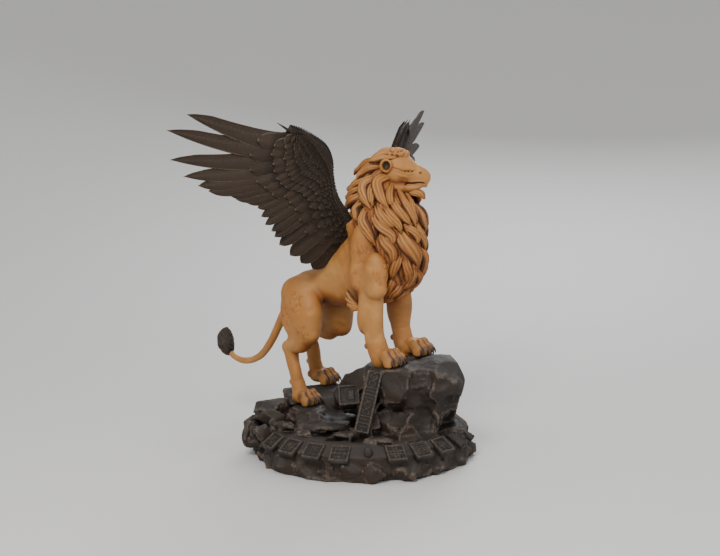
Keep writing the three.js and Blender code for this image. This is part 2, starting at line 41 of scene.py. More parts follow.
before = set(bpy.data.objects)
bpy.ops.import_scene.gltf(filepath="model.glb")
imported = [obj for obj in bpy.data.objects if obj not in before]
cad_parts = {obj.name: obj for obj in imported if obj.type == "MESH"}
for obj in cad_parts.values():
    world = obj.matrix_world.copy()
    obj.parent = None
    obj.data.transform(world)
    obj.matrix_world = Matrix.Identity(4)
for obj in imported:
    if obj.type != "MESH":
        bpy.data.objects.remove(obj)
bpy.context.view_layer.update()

MM = 0.001
SIDE = np.array([0.0, 1.0, 0.0])
UP = np.array([0.0, 0.0, 1.0])
BODY = "root"


# Curves and noise

def spline(rows, count):
    """Catmull-Rom curve through the rows, count points evenly spaced in row number."""
    rows = np.asarray(rows, float)
    ends = np.vstack([2 * rows[0] - rows[1], rows, 2 * rows[-1] - rows[-2]])
    t = np.linspace(0, len(rows) - 1, count)
    i = np.minimum(t.astype(int), len(rows) - 2)
    f = (t - i).reshape((-1,) + (1,) * (rows.ndim - 1))
    a, b, c, d = (ends[i + k] for k in range(4))
    return 0.5 * (2 * b + (c - a) * f + (2 * a - 5 * b + 4 * c - d) * f ** 2
                  + (3 * b - a - 3 * c + d) * f ** 3)


def spline_at(rows, t):
    """The same curve at any array of places t, which run from 0 to 1."""
    fine = spline(rows, 400)
    at = np.clip(np.asarray(t, float), 0, 1) * (len(fine) - 1)
    i = np.minimum(at.astype(int), len(fine) - 2)
    f = (at - i)[..., None]
    return fine[i] * (1 - f) + fine[i + 1] * f


def unit(v):
    """Each vector over its own length."""
    return v / np.maximum(np.linalg.norm(v, axis=-1, keepdims=True), 1e-9)


def ramp(x, low, high):
    """Smooth step from 0 at low to 1 at high."""
    t = np.clip((x - low) / (high - low), 0, 1)
    return t * t * (3 - 2 * t)


def scatter(n, salt=0):
    """Fixed scatter between 0 and 1 for whole numbers n."""
    wave = np.sin(np.asarray(n, float) * 12.9898 + salt * 78.233 + 4.137) * 43758.5453
    return wave - np.floor(wave)


def turned(p, q, degrees):
    """Coordinates p and q, turned from p towards q by an angle."""
    a = math.radians(degrees)
    return p * math.cos(a) - q * math.sin(a), p * math.sin(a) + q * math.cos(a)


def round_at(radius, degrees):
    """The x and y of a place at a radius and an angle round the upright."""
    a = math.radians(degrees)
    return radius * math.cos(a), radius * math.sin(a)


def ring_angles(count):
    """Angles evenly round a full turn, in radians."""
    return np.linspace(0, 2 * np.pi, count, endpoint=False)


def lattice(i, j, k, salt):
    """Fixed scatter between 0 and 1 for the corners of a lattice, from whole-number mixing."""
    n = (i * 73856093) ^ (j * 19349663) ^ (k * 83492791) ^ (salt * 2654435)
    n = (n ^ (n >> 13)) * 1274126177
    return ((n ^ (n >> 16)) & 0xFFFF) / 65535.0


def noise(points, size, salt):
    """Value noise from -1 to 1: lattice scatter blended by smooth steps inside each cell."""
    p = points / size
    base = np.floor(p).astype(np.int64)
    f = p - base
    f = f * f * (3 - 2 * f)
    total = np.zeros(len(p))
    for corner in np.ndindex(2, 2, 2):
        weight = np.prod(np.where(corner, f, 1 - f), axis=1)
        i, j, k = (base + corner).T
        total += weight * lattice(i, j, k, salt)
    return 2 * total - 1


def layered(points, size, layers, salt):
    """Noise summed over halving sizes and halving strengths."""
    return sum(noise(points, size / 2 ** n, salt + n) / 2 ** n for n in range(layers))


def facets(points, size, salt):
    """Chipped-stone relief from -1 to 1: space is split among scattered seeds, and each seed's
    share of space is one tilted plane."""
    p = points / size
    base = np.floor(p).astype(np.int64)
    best = np.full(len(p), 9.0)
    out = np.zeros(len(p))
    for shift in np.ndindex(3, 3, 3):
        cell = base + np.array(shift) - 1
        i, j, k = cell.T
        place = [lattice(i, j, k, salt + n) for n in range(6)]
        gap = p - cell - np.stack(place[:3], axis=1)
        far = (gap ** 2).sum(axis=1)
        nearer = far < best
        best = np.where(nearer, far, best)
        tilt = (gap * (2 * np.stack(place[3:], axis=1) - 1)).sum(axis=1)
        out = np.where(nearer, tilt + 0.6 * place[3] - 0.3, out)
    return np.clip(out, -1, 1)


# Signed distances on a grid: negative inside, in millimetres

def soft_min(a, b, blend):
    """The smaller of two distances, lowered near where they are equal, so forms melt together."""
    h = np.maximum(blend - np.abs(a - b), 0) / blend
    return np.minimum(a, b) - h * h * blend * 0.25


class Field:
    """A distance sampled at the corners of cubic cells between two corners of space."""

    REACH = 7.0  # how far past a shape its distance still counts
    FAR = 40.0  # the distance where there is no shape yet

    def __init__(self, low, high, cell):
        self.low = np.array(low, float)
        self.cell = cell
        count = np.ceil((np.array(high, float) - self.low) / cell).astype(int) + 1
        self.axes = [self.low[i] + cell * np.arange(count[i]) for i in range(3)]
        self.value = np.full(count, self.FAR, np.float32)

    def window(self, low, high):
        """The part of the grid between two corners, and its open coordinates."""
        cuts = []
        for i in range(3):
            first = int(np.floor((low[i] - self.low[i]) / self.cell))
            last = int(np.ceil((high[i] - self.low[i]) / self.cell)) + 1
            top = self.value.shape[i]
            cuts.append(slice(min(max(first, 0), top), min(max(last, 0), top)))
        grid = np.meshgrid(*[axis[cut] for axis, cut in zip(self.axes, cuts)],
                           indexing="ij", sparse=True)
        return tuple(cuts), grid

    def merge(self, shape, blend):
        """Adds a shape, (distance function, lowest corner, highest corner), melted in by blend."""
        distance, low, high = shape
        reach = blend + self.REACH
        cuts, grid = self.window(np.asarray(low) - reach, np.asarray(high) + reach)
        if self.value[cuts].size:
            self.value[cuts] = soft_min(self.value[cuts], distance(*grid), blend)

    def carve(self, shape, blend):
        """Takes a shape away, with its edges softened by blend."""
        distance, low, high = shape
        cuts, grid = self.window(np.asarray(low) - blend, np.asarray(high) + blend)
        if self.value[cuts].size:
            self.value[cuts] = -soft_min(-self.value[cuts], distance(*grid), blend)

    def near(self, band):
        """Which places of the grid are within band of the surface, and their points."""
        mask = np.abs(self.value) < band
        return mask, self.low + self.cell * np.argwhere(mask)

    def sample(self, points):
        """The distance at any points, blended between the grid's corners."""
        at = (points - self.low) / self.cell
        top = np.array(self.value.shape) - 2
        base = np.clip(np.floor(at).astype(int), 0, top)
        f = np.clip(at - base, 0, 1)
        total = np.zeros(len(points))
        for corner in np.ndindex(2, 2, 2):
            weight = np.prod(np.where(corner, f, 1 - f), axis=1)
            total += weight * self.value[tuple((base + corner).T)]
        return total

    def slope(self, points):
        """The direction in which the distance grows, out of the surface."""
        step = self.cell * 0.6
        gaps = [self.sample(points + step * e) - self.sample(points - step * e)
                for e in np.eye(3)]
        return unit(np.stack(gaps, axis=1))


def ellipsoid(centre, radii, yaw=0.0, pitch=0.0):
    """An ellipsoid: how many radii out a point is, less one, over that measure's slope. It is
    pitched about Y and then turned about Z, in degrees."""
    centre, radii = np.asarray(centre, float), np.asarray(radii, float)
    a, b = np.radians([yaw, pitch])
    turn = np.array([[math.cos(a), -math.sin(a), 0], [math.sin(a), math.cos(a), 0], [0, 0, 1]])
    tip = np.array([[math.cos(b), 0, math.sin(b)], [0, 1, 0], [-math.sin(b), 0, math.cos(b)]])
    axes = turn @ tip
    reach = np.abs(axes) @ radii

    def distance(x, y, z):
        x, y, z = x - centre[0], y - centre[1], z - centre[2]
        local = [axes[0, i] * x + axes[1, i] * y + axes[2, i] * z for i in range(3)]
        out = np.sqrt(sum((p / r) ** 2 for p, r in zip(local, radii)))
        slope = np.sqrt(sum((p / r ** 2) ** 2 for p, r in zip(local, radii)))
        return out * (out - 1) / (slope + 1e-6)

    return distance, centre - reach, centre + reach


THINNEST = 0.3


def limb(rows, steps):
    """A limb through rows of x, y, z, half width across and half depth: short oval cones end to
    end along the smooth path through the rows, and the nearest one counts."""
    path = spline(rows, steps)
    path[:, 3:] = np.maximum(path[:, 3:], THINNEST)
    reach = path[:, 3:].max(axis=1)[:, None]
    low, high = (path[:, :3] - reach).min(axis=0), (path[:, :3] + reach).max(axis=0)
    margin = Field.REACH + 3

    def distance(x, y, z):
        whole = np.full(np.broadcast_shapes(x.shape, y.shape, z.shape), Field.FAR, np.float32)
        grid = [x.ravel(), y.ravel(), z.ravel()]
        for a, b in zip(path[:-1], path[1:]):
            span = b[:3] - a[:3]
            length = np.linalg.norm(span)
            along = span / length
            side = unit(SIDE - along * (SIDE @ along))
            depth = np.cross(along, side)
            wide = max(a[3:].max(), b[3:].max()) + margin
            cuts = []
            for i in range(3):
                first = np.searchsorted(grid[i], min(a[i], b[i]) - wide)
                last = np.searchsorted(grid[i], max(a[i], b[i]) + wide)
                cuts.append(slice(first, last))
            cuts = tuple(cuts)
            if not whole[cuts].size:
                continue
            p = [x[cuts[0]] - a[0], y[:, cuts[1]] - a[1], z[:, :, cuts[2]] - a[2]]
            run = sum(p[i] * along[i] for i in range(3))
            t = np.clip(run / length, 0, 1)
            past = run - t * length
            s = sum(p[i] * side[i] for i in range(3))
            d = sum(p[i] * depth[i] for i in range(3))
            half_wide = a[3] + (b[3] - a[3]) * t
            half_deep = a[4] + (b[4] - a[4]) * t
            end = np.minimum(half_wide, half_deep)
            out = np.sqrt((s / half_wide) ** 2 + (d / half_deep) ** 2 + (past / end) ** 2)
            slope = np.sqrt((s / half_wide ** 2) ** 2 + (d / half_deep ** 2) ** 2
                            + (past / end ** 2) ** 2)
            near = out * (out - 1) / (slope + 1e-6)
            whole[cuts] = np.minimum(whole[cuts], near)
        return whole

    return distance, low, high


def hull_shape(corners, soften):
    """The convex hull of corner points: the greatest distance to its face planes, with the
    edges between them worn round by soften."""
    shell = bmesh.new()
    for corner in corners:
        shell.verts.new(corner)
    bmesh.ops.convex_hull(shell, input=list(shell.verts))
    shell.normal_update()
    points = np.asarray(corners, float)
    middle = np.mean(points, axis=0)
    planes = {}
    for face in shell.faces:
        normal = np.array(face.normal)
        offset = float(normal @ np.array(face.verts[0].co))
        if normal @ middle > offset:
            normal, offset = -normal, -offset
        planes[tuple(np.round(np.append(normal, offset), 3))] = (normal, offset)
    shell.free()

    def distance(x, y, z):
        whole = None
        for normal, offset in planes.values():
            d = normal[0] * x + normal[1] * y + normal[2] * z - offset
            whole = d if whole is None else -soft_min(-whole, -d, soften)
        return whole

    return distance, points.min(axis=0), points.max(axis=0)


CORNERS = np.array(list(np.ndindex(2, 2, 2)))
EDGES = [(a, b) for a in range(8) for b in range(a + 1, 8)
         if np.abs(CORNERS[a] - CORNERS[b]).sum() == 1]


def surface_of(field, passes=2):
    """The field's zero surface as points, quads and normals: one point in each cell that the
    surface crosses, at the mean of its edge crossings, one quad across each grid edge that
    changes sign, then passes that even the points out and draw them back to the surface."""
    value = field.value
    inside = value < 0
    shape = np.array(value.shape) - 1
    count = np.zeros(shape, np.int8)
    for i, j, k in CORNERS:
        count += inside[i:shape[0] + i, j:shape[1] + j, k:shape[2] + k]
    mixed = (count > 0) & (count < 8)
    cells = np.argwhere(mixed)
    index = np.full(shape, -1, np.int64)
    index[mixed] = np.arange(len(cells))
    at = np.stack([value[tuple((cells + c).T)] for c in CORNERS], axis=1)
    total = np.zeros((len(cells), 3))
    hits = np.zeros((len(cells), 1))
    for a, b in EDGES:
        cut = (at[:, a] < 0) != (at[:, b] < 0)
        t = np.where(cut, at[:, a] / np.where(cut, at[:, a] - at[:, b], 1), 0)[:, None]
        total += np.where(cut[:, None], CORNERS[a] + t * (CORNERS[b] - CORNERS[a]), 0)
        hits += cut[:, None]
    points = field.low + field.cell * (cells + total / hits)
    quads = []
    for axis in range(3):
        u, v = (axis + 1) % 3, (axis + 2) % 3
        low = [slice(None)] * 3
        high = [slice(None)] * 3
        low[axis], high[axis] = slice(0, -1), slice(1, None)
        starts = inside[tuple(low)]
        flips = np.argwhere(starts != inside[tuple(high)])
        keep = ((flips[:, [u, v]] > 0) & (flips[:, [u, v]] < shape[[u, v]])).all(axis=1)
        flips = flips[keep]
        corner = []
        for du, dv in ((1, 1), (0, 1), (0, 0), (1, 0)):
            cell = flips.copy()
            cell[:, u] -= du
            cell[:, v] -= dv
            corner.append(index[tuple(cell.T)])
        quad = np.stack(corner, axis=1)
        outward = starts[tuple(flips.T)]
        quads.append(np.where(outward[:, None], quad, quad[:, ::-1]))
    quads = np.vstack(quads)
    for _ in range(passes):
        points = 0.5 * points + 0.5 * neighbours_mean(points, quads)
        points -= field.slope(points) * field.sample(points)[:, None]
    return points, quads, field.slope(points)


def neighbours_mean(points, quads):
    """For each point, the mean of the points that share an edge with it."""
    a = quads.ravel()
    b = np.roll(quads, -1, axis=1).ravel()
    ends, others = np.concatenate([a, b]), np.concatenate([b, a])
    hits = np.maximum(np.bincount(ends, minlength=len(points)), 1)
    sums = [np.bincount(ends, points[others, i], len(points)) for i in range(3)]
    return np.stack(sums, axis=1) / hits[:, None]


def openness(field, points, normals, reach):
    """From 0 in a deep crease to 1 in the open: how far off the surface is, a step out from it,
    as a share of that step, taken at a short step and a long one."""
    near = field.sample(points + normals * reach * 0.3) / (reach * 0.3)
    far = field.sample(points + normals * reach) / reach
    return np.clip(0.5 * near + 0.5 * far, 0, 1)


# Meshes

def add_object(name, data):
    """A new object in the scene that holds a mesh, a lamp or a camera."""
    thing = bpy.data.objects.new(name, data)
    bpy.context.scene.collection.objects.link(thing)
    return thing


def mesh_object(name, parts, material):
    """A smooth mesh from parts, each points in millimetres, a list of face arrays and one number
    per point for each layer."""
    points, faces, layers = gather(parts)
    mesh = bpy.data.meshes.new(name)
    mesh.vertices.add(len(points))
    mesh.vertices.foreach_set("co", (points * MM).astype(np.float32).ravel())
    loops = np.concatenate([f.ravel() for f in faces])
    sizes = np.concatenate([np.full(len(f), f.shape[1]) for f in faces])
    mesh.loops.add(len(loops))
    mesh.loops.foreach_set("vertex_index", loops.astype(np.int32))
    mesh.polygons.add(len(sizes))
    starts = np.concatenate([[0], np.cumsum(sizes)[:-1]])
    mesh.polygons.foreach_set("loop_start", starts.astype(np.int32))
    mesh.polygons.foreach_set("use_smooth", np.ones(len(sizes), bool))
    for key, values in layers.items():
        layer = mesh.attributes.new(key, "FLOAT", "POINT")
        layer.data.foreach_set("value", np.asarray(values, np.float32))
    mesh.update(calc_edges=True)
    mesh.validate()
    mesh.materials.append(material)
    return add_object(name, mesh)


def make_piece(name, parts, material, node):
    """A piece of the object: it rides on the one body and stands for a node of the CAD."""
    piece = mesh_object(name, parts, material)
    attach(piece, BODY)
    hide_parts(node)


def gather(parts):
    """Joins (points, list of face arrays, layers) sets into one set. A layer that one of them
    lacks is 0 there."""
    points, faces, shift = [], [], 0
    layers = {key: [] for key in sorted({key for part in parts for key in part[2]})}
    for part_points, part_faces, part_layers in parts:
        points.append(part_points)
        faces.extend(f + shift for f in part_faces)
        shift += len(part_points)
        for key, values in layers.items():
            values.append(np.broadcast_to(part_layers.get(key, 0.0), len(part_points)))
    return np.vstack(points), faces, {k: np.concatenate(v) for k, v in layers.items()}


def closed_tubes(rings):
    """Many closed tubes at once. rings[tube, station, around] are joined to the next station and
    the next point around, and each end is closed on its own middle point."""
    tubes, stations, around, _ = rings.shape
    points = rings.reshape(tubes, -1, 3)
    poles = rings[:, [0, -1]].mean(axis=2)
    points = np.concatenate([points, poles], axis=1)
    station, place = np.meshgrid(np.arange(stations - 1), np.arange(around), indexing="ij")
    a = (station * around + place).ravel()
    b = (station * around + (place + 1) % around).ravel()
    quads = np.stack([a, b, b + around, a + around], axis=1)
    ring = np.arange(around)
    after = (ring + 1) % around
    last = (stations - 1) * around
    first_pole, last_pole = stations * around, stations * around + 1
    fans = np.vstack([
        np.stack([np.full(around, first_pole), after, ring], axis=1),
        np.stack([np.full(around, last_pole), last + ring, last + after], axis=1),
    ])
    corner = points[0][np.vstack([quads[:, :3], quads[:, [0, 2, 3]], fans])]
    if np.einsum("ij,ij", corner[:, 0], np.cross(corner[:, 1], corner[:, 2])) < 0:
        quads, fans = quads[:, ::-1], fans[:, ::-1]
    shift = (np.arange(tubes) * points.shape[1])[:, None, None]
    faces = [(quads[None] + shift).reshape(-1, 4), (fans[None] + shift).reshape(-1, 3)]
    return points.reshape(-1, 3), faces


def tube_layer(values):
    """A layer for closed_tubes from values[tube, station, around]: the poles take the means."""
    tubes = values.shape[0]
    poles = values[:, [0, -1]].mean(axis=2)
    return np.concatenate([values.reshape(tubes, -1), poles], axis=1).ravel()


# The griffin's body

# rows of a limb: x, y, z, half width, half depth
TORSO = [
    (-80, 0, 126, 3, 3), (-74, 0, 128, 11, 9), (-65, 0, 132, 16.5, 12), (-52, 0, 136, 19, 15),
    (-38, 0, 139, 18.5, 16), (-24, 0, 144, 17.5, 20), (-8, 0, 152, 20, 28), (9, 0, 161, 22, 35),
    (24, 0, 168, 20, 34), (35, 0, 172, 10, 20),
]
TAIL = [
    (-73, 0, 134, 5, 5), (-79, 0, 125, 4.4, 4.4), (-86, 0, 111, 3.9, 3.9), (-93, 0, 98, 3.7, 3.7),
    (-101, 0, 84, 3.5, 3.5), (-112, 0, 70, 3.3, 3.3), (-124, 0, 62.5, 3.1, 3.1),
    (-136, 0, 60, 2.9, 2.9), (-147, 0, 62, 2.6, 2.6), (-153, 0, 66.5, 2.4, 2.4),
]
# rows of the tuft: x, y, z, radius
TUFT = [(-151, 0, 64.5, 2.6), (-154.5, 0, 67.5, 5.2), (-157.5, 0, 73, 7.2), (-158.2, 0, 79, 6.8),
        (-157.2, 0, 84, 4.2), (-156, 0, 87, 0.8)]
FORE_TRACK = 21.5
HIND_TRACK = 21.0
LEFT_FORE_BACK = 4.5
LEFT_HIND_BACK, LEFT_HIND_RISE = 15, 9
BODY_CELL, PAW_CELL = 1.1, 0.62
PAW_GRID = 28
PAWS = [
    # heel, size, 1 for a hind paw
    ((36, -21, 83.5), 23.5, 0), ((35.5, 21, 85.5), 23.5, 0),
    ((-50, -20.5, 38), 21.5, 1), ((-63, 20.5, 47), 22.5, 1),
]


def foreleg_rows(side):
    """Rows of one foreleg from the shoulder blade to the wrist; the left one stands back."""
    y = side * FORE_TRACK
    back = LEFT_FORE_BACK if side > 0 else 0
    return [
        (6, y * 0.55, 194, 4, 6), (14, y * 0.8, 180, 8.4, 12.6),
        (20 - back, y * 0.97, 160, 9.0, 13.6), (24 - back, y, 140, 8.5, 11.4),
        (25 - back, y, 122, 7.8, 9.6), (28 - back, y, 106, 7.4, 8.2),
        (31 - back, y * 0.98, 95, 7.8, 8), (34 - back, y * 0.97, 86, 7.2, 6.4),
    ]


def hind_leg_rows(side):
    """Rows of one hind leg from the haunch to the ankle. The left one stands back and higher by
    the share that ends each row, which grows down the leg."""
    left = 1 if side > 0 else 0
    y = side * HIND_TRACK
    rows = [
        (-53, 0.4, 143, 6, 8, 0), (-53, 0.8, 134, 10.6, 14.8, 0), (-47, 0.98, 121, 11.6, 16.6, 0),
        (-43, 1.05, 107, 10.4, 13.8, 0.1), (-49, 1.03, 95, 8, 10, 0.4),
        (-60, 1, 86, 6.4, 7.4, 0.75), (-60.5, 0.98, 76, 5.5, 6, 0.9),
        (-57, 0.98, 64, 5.2, 5.4, 1), (-54, 0.98, 54, 5.6, 5.8, 1), (-51, 0.98, 45, 6.6, 5.6, 1),
    ]
    back, rise = LEFT_HIND_BACK * left, LEFT_HIND_RISE * left
    return [(x - back * low, y * spread, z + rise * low, wide, deep)
            for x, spread, z, wide, deep, low in rows]


def fore_muscles(side):
    """Shoulder, upper arm and forearm masses of one foreleg: place, radii, pitch and blend."""
    y = side * FORE_TRACK
    back = LEFT_FORE_BACK if side > 0 else 0
    return [
        ((16 - back, y * 1.06, 181), (10, 8.6, 18), 12, 4),
        ((31.5 - back, y * 1.13, 160), (10, 8.4, 15), -12, 3.6),
        ((14 - back, y * 1.16, 158), (7.2, 7.4, 15), 8, 3.2),
        ((32.5 - back, y * 1.21, 145.5), (9.6, 7.6, 8.4), -22, 2.8),
        ((15.5 - back, y * 1.21, 149.5), (6.4, 6.6, 8.4), 0, 2.6),
        ((20.5 - back, y * 1.12, 125), (6.6, 6.6, 18), 8, 3),
        ((31 - back, y * 1.12, 122), (5.4, 5.8, 17), 4, 3),
        ((26 - back, y * 1.26, 112), (2.2, 2.6, 13), 6, 3),
        ((20.5 - back, y * 1.0, 96.5), (3, 2.4, 2.6), 30, 2.5),
    ]


def hind_muscles(side):
    """Haunch, thigh, knee and hock masses of one hind leg, given in the same way."""
    left = 1 if side > 0 else 0
    y = side * HIND_TRACK
    back, rise = LEFT_HIND_BACK * left, LEFT_HIND_RISE * left
    return [
        ((-57, y * 0.88, 131), (15, 10.2, 15), 24, 5),
        ((-43, y * 1.05, 113), (12, 9.6, 20), 16, 5.5),
        ((-60, y * 1.08, 111), (8.4, 8, 18), -16, 4),
        ((-38 - back * 0.1, y * 1.12, 99), (7.6, 7, 9), 30, 4.5),
        ((-49 - back * 0.35, y * 1.06, 91.5 + rise * 0.35), (9, 7, 9), 30, 5),
        ((-66.5 - back * 0.75, y, 85.5 + rise * 0.75), (4.2, 3.6, 4.6), 30, 4),
        ((-61 - back, y * 0.98, 55 + rise), (2.6, 2.2, 2.8), 20, 2),
        ((-59.5 - back * 0.95, y, 72 + rise * 0.95), (3.6, 4.0, 12), -14, 2.4),
        ((-54.5 - back * 0.95, y * 1.06, 66 + rise * 0.95), (3.4, 3.8, 11), -12, 2.4),
    ]


def body_field():
    """The whole body but its paws, mane and head, as one melted form."""
    field = Field((-166, -42, 40), (64, 42, 216), BODY_CELL)
    field.merge(limb(TORSO, 26), 1)
    for side in (-1, 1):
        field.merge(limb(foreleg_rows(side), 22), 4.5)
        field.merge(limb(hind_leg_rows(side), 26), 6)
    for side in (-1, 1):
        for place, radii, pitch, blend in fore_muscles(side) + hind_muscles(side):
            field.merge(ellipsoid(place, radii, 0, pitch), blend)
    field.merge(ellipsoid((-16, 0, 150), (30, 15, 25), 0, -14), 9)
    field.merge(limb(TAIL, 34), 4)
    for side in (-1, 1):
        field.merge(limb([(14, 6 * side, 174, 9, 8), (7, 12 * side, 186, 8, 9),
                          (1, 17 * side, 196, 5.4, 6.4), (-3, 21 * side, 204, 3, 3.4)], 10), 6)
    for side in (-1, 1):
        field.carve(ellipsoid((-14, 29 * side, 141), (7, 7, 16), 0, -12), 9)
    return field


# patches of carved fur on both flanks: x, z, half length, half height
FUR_PATCHES = [(-47, 128, 9, 12), (-40, 102, 8, 8), (20, 174, 6, 13), (40, 158, 7, 11),
               (16, 152, 6, 8), (-60, 112, 6, 12)]


def tone(points, span=30.0):
    """Slow drift of the airbrushed paint, from 0 to 1."""
    return 0.5 + 0.5 * layered(points, span, 3, 5)


def body_part():
    """The body's surface, with wavering fur marks cut in its patches and its hollows shaded."""
    field = body_field()
    points, quads, normals = surface_of(field)
    x, y, z = points.T
    fur = np.zeros(len(points))
    for px, pz, wide, high in FUR_PATCHES:
        fur = np.maximum(fur, 1 - ((x - px) / wide) ** 2 - ((z - pz) / high) ** 2)
    fur = ramp(fur, 0, 0.5) * ramp(np.abs(y), 10, 18)
    swirl = np.stack([x + 0.5 * z, y, 0.42 * z - 0.3 * x], axis=1)
    marks = fur * ramp(np.abs(noise(swirl, 2.6, 3)), 0.16, 0.04)
    points = points - normals * (0.5 * marks)[:, None]
    points += normals * (0.16 * layered(points, 7, 2, 9))[:, None]
    open_air = openness(field, points, normals, 9)
    # Painted shade on the faces that look down under the middle of the body, added to the shade in
    # the hollows.
    under = ramp(-normals[:, 2], 0.1, 0.8) * ramp(np.abs(x + 10), 45, 30)
    dark = np.clip(ramp(x, -150, -156), 0, 1)
    return points, [quads], {"open": open_air * (1 - 0.5 * under), "dark": dark,
                             "tone": tone(points), "fur": marks}


def paw_parts(heel, size, hind):
    """One paw: the end of its shank, a pad, four knuckled toes and hooked claws, on its own grid,
    where +X is forward and its sole is at 0."""
    k = size / PAW_GRID
    x0, y0, z0 = heel
    side = -1 if y0 < 0 else 1
    field = Field((x0 - 19 * k, y0 - 19 * k, z0 - 2), (x0 + 27 * k, y0 + 19 * k, z0 + 32),
                  PAW_CELL)
    rows = hind_leg_rows(side) if hind else foreleg_rows(side)
    path = spline(rows, 60)
    path = path[path[:, 2] < z0 + 30]
    sink = 1.5 * ramp(path[:, 2], z0 + 17, z0 + 24) - 0.5
    path[:, 3:] -= sink[:, None]
    field.merge(limb(path, 20), 1)

    def at(x, y, z):
        return x0 + x * k, y0 + y * k, z0 + z * k

    def size_of(*sizes):
        return [s * k for s in sizes]

    field.merge(ellipsoid(at(0.5, 0, 7.5), size_of(11, 10, 7.5)), 4 * k)
    field.merge(ellipsoid(at(-2, 0, 4), size_of(9.5, 8.5, 4)), 2 * k)
    claws = []
    for step in (-1.5, -0.5, 0.5, 1.5):
        reach = 2.8 if abs(step) < 1 else 0.0
        spread = step * 6.5
        field.merge(limb([(*at(0, step * 4.3, 11.5), *size_of(2.6, 3.4)),
                          (*at(6 + reach, step * 5.8, 10.2), *size_of(3.3, 4.2)),
                          (*at(11 + reach, spread, 7.6), *size_of(3.7, 4.8))], 7), 0.9 * k)
        field.merge(ellipsoid(at(13.2 + reach, step * 6.9, 5.4), size_of(5.6, 3.8, 5.8),
                              4 * step, 14), 0.8 * k)
        field.merge(ellipsoid(at(8.6 + reach, step * 6.1, 11.8), size_of(4.2, 3.2, 4.2)), 1.6 * k)
        field.merge(ellipsoid(at(13.4 + reach, step * 6.9, 1.9), size_of(4.2, 3.1, 1.9)), 1.2 * k)
        claws.append([(*at(14.5 + reach, step * 6.9, 6.0), 0.7 * k),
                      (*at(17.6 + reach, step * 7.1, 6.2), 1.6 * k),
                      (*at(19.6 + reach, step * 7.3, 4.6), 1.25 * k),
                      (*at(20.6 + reach, step * 7.4, 2.6), 0.75 * k),
                      (*at(20.8 + reach, step * 7.4, 0.7), 0.15 * k)])
    field.merge(ellipsoid(at(-8.6, -8.6 * side, 9), size_of(2.2, 1.8, 3.2)), 3 * k)
    points, quads, normals = surface_of(field)
    open_air = openness(field, points, normals, 3.2)
    ahead, up = (points[:, 0] - x0) / k, (points[:, 2] - z0) / k
    # Painted shade in the grooves between the toes, through the dark layer; the spray, band and
    # claw tips are dark paint.
    groove = ramp(1 - open_air, 0.25, 0.7)
    spray = ramp(ahead, 3, 11) * ramp(up, 3, 9)
    band = ramp(ahead, 1, 6) * ramp(ahead, 13, 8) * ramp(up, 7, 10) * ramp(up, 16, 13)
    dark = np.clip(groove * ramp(ahead, 4, 10) * 0.5 + 0.2 * spray
                   + (0.5 if hind else 0.1) * band + 0.5 * ramp(ahead, 16.5, 19.5), 0, 1)
    hair = noise(points * np.array([0.35, 1.6, 1.0]), 1.1, 4)
    points = points - normals * (0.16 * ramp(hair, 0, 0.7) * ramp(up, 8, 12))[:, None]
    skin = (points, [quads], {"open": open_air, "dark": dark, "tone": tone(points)})
    paths = np.array([spline(c, 12) for c in claws])
    rings = round_rings(paths[..., :3], paths[..., 3], 10)
    return [skin, (*closed_tubes(rings), {"open": 1.0, "dark": 1.0, "tone": 0.5, "light": 0.35})]


def round_rings(paths, radii, around):
    """Round sections square to each path: rings[tube, station, around]."""
    along = unit(np.gradient(paths, axis=1))
    side = np.cross(along, UP + 0 * along)
    flat = np.linalg.norm(side, axis=-1, keepdims=True) < 1e-3
    side = unit(np.where(flat, SIDE + 0 * along, side))
    rise = np.cross(side, along)
    angle = ring_angles(around)
    out = (side[:, :, None] * np.cos(angle)[:, None] - rise[:, :, None] * np.sin(angle)[:, None])
    return paths[:, :, None] + out * radii[:, :, None, None]


def round_tube(path, radii, around):
    """One closed round tube along a path."""
    return closed_tubes(round_rings(path[None], radii[None], around))


# Locks of hair

def locks(paths, outward, wide, thick, strands, seeds, around):
    """Many locks at once. Each follows its path [lock, station] with outward normals, half
    widths and thicknesses. The section is half an ellipse on the outside, cut by strands that
    run its length, and a flatter half inside with a quarter of the points."""
    stations = paths.shape[1]
    along = unit(np.gradient(paths, axis=1))
    side = unit(np.cross(along, outward))
    out = unit(np.cross(side, along))
    inner = around // 4
    angle = np.concatenate([np.linspace(0, np.pi, around - inner, endpoint=False),
                            np.linspace(np.pi, 2 * np.pi, inner, endpoint=False)])[None, None]
    run = np.linspace(0, 1, stations)[None, :, None]
    seed = np.asarray(seeds, float)[:, None, None]
    across = np.cos(angle)
    face = np.sin(angle)
    sway = 0.35 * np.sin(2 * np.pi * (run * 0.9 + scatter(seed, 3))) + scatter(seed, 4)
    groove = 0.5 - 0.5 * np.cos(2 * np.pi * (strands * 0.5 * across + sway))
    fine = 0.5 - 0.5 * np.cos(2 * np.pi * (strands * 1.35 * across + 1.7 * sway))
    outer = face > 0
    crease = np.where(outer, groove ** 2 * 0.9 + fine ** 2 * 0.3, 0)
    deep = ramp(run, 0.0, 0.18) * (1 - 0.5 * ramp(run, 0.75, 1.0))
    height = np.where(outer, face * (1 - 0.36 * crease * deep), face * 0.55)
    rings = (paths[:, :, None]
             + side[:, :, None] * (across * wide[:, :, None])[..., None]
             + out[:, :, None] * (height * thick[:, :, None])[..., None])
    points, faces = closed_tubes(rings)
    # Painted shade along the strand grooves, the lock's edges and its underside, and a painted
    # highlight on its crest.
    rim = ramp(np.abs(across), 0.6, 0.92) + 0 * crease
    open_air = np.clip(1 - 0.3 * crease * deep - 0.8 * rim - np.where(face < -0.1, 0.7, 0), 0, 1)
    lit = 0.65 * np.clip(np.where(outer, 1 - crease, 0) * (1 - rim) * deep, 0, 1)
    strand = np.where(outer, 4.6 * across + 1.8 * sway, 0)
    return points, faces, {"open": tube_layer(open_air), "light": tube_layer(lit),
                           "strand": tube_layer(strand)}


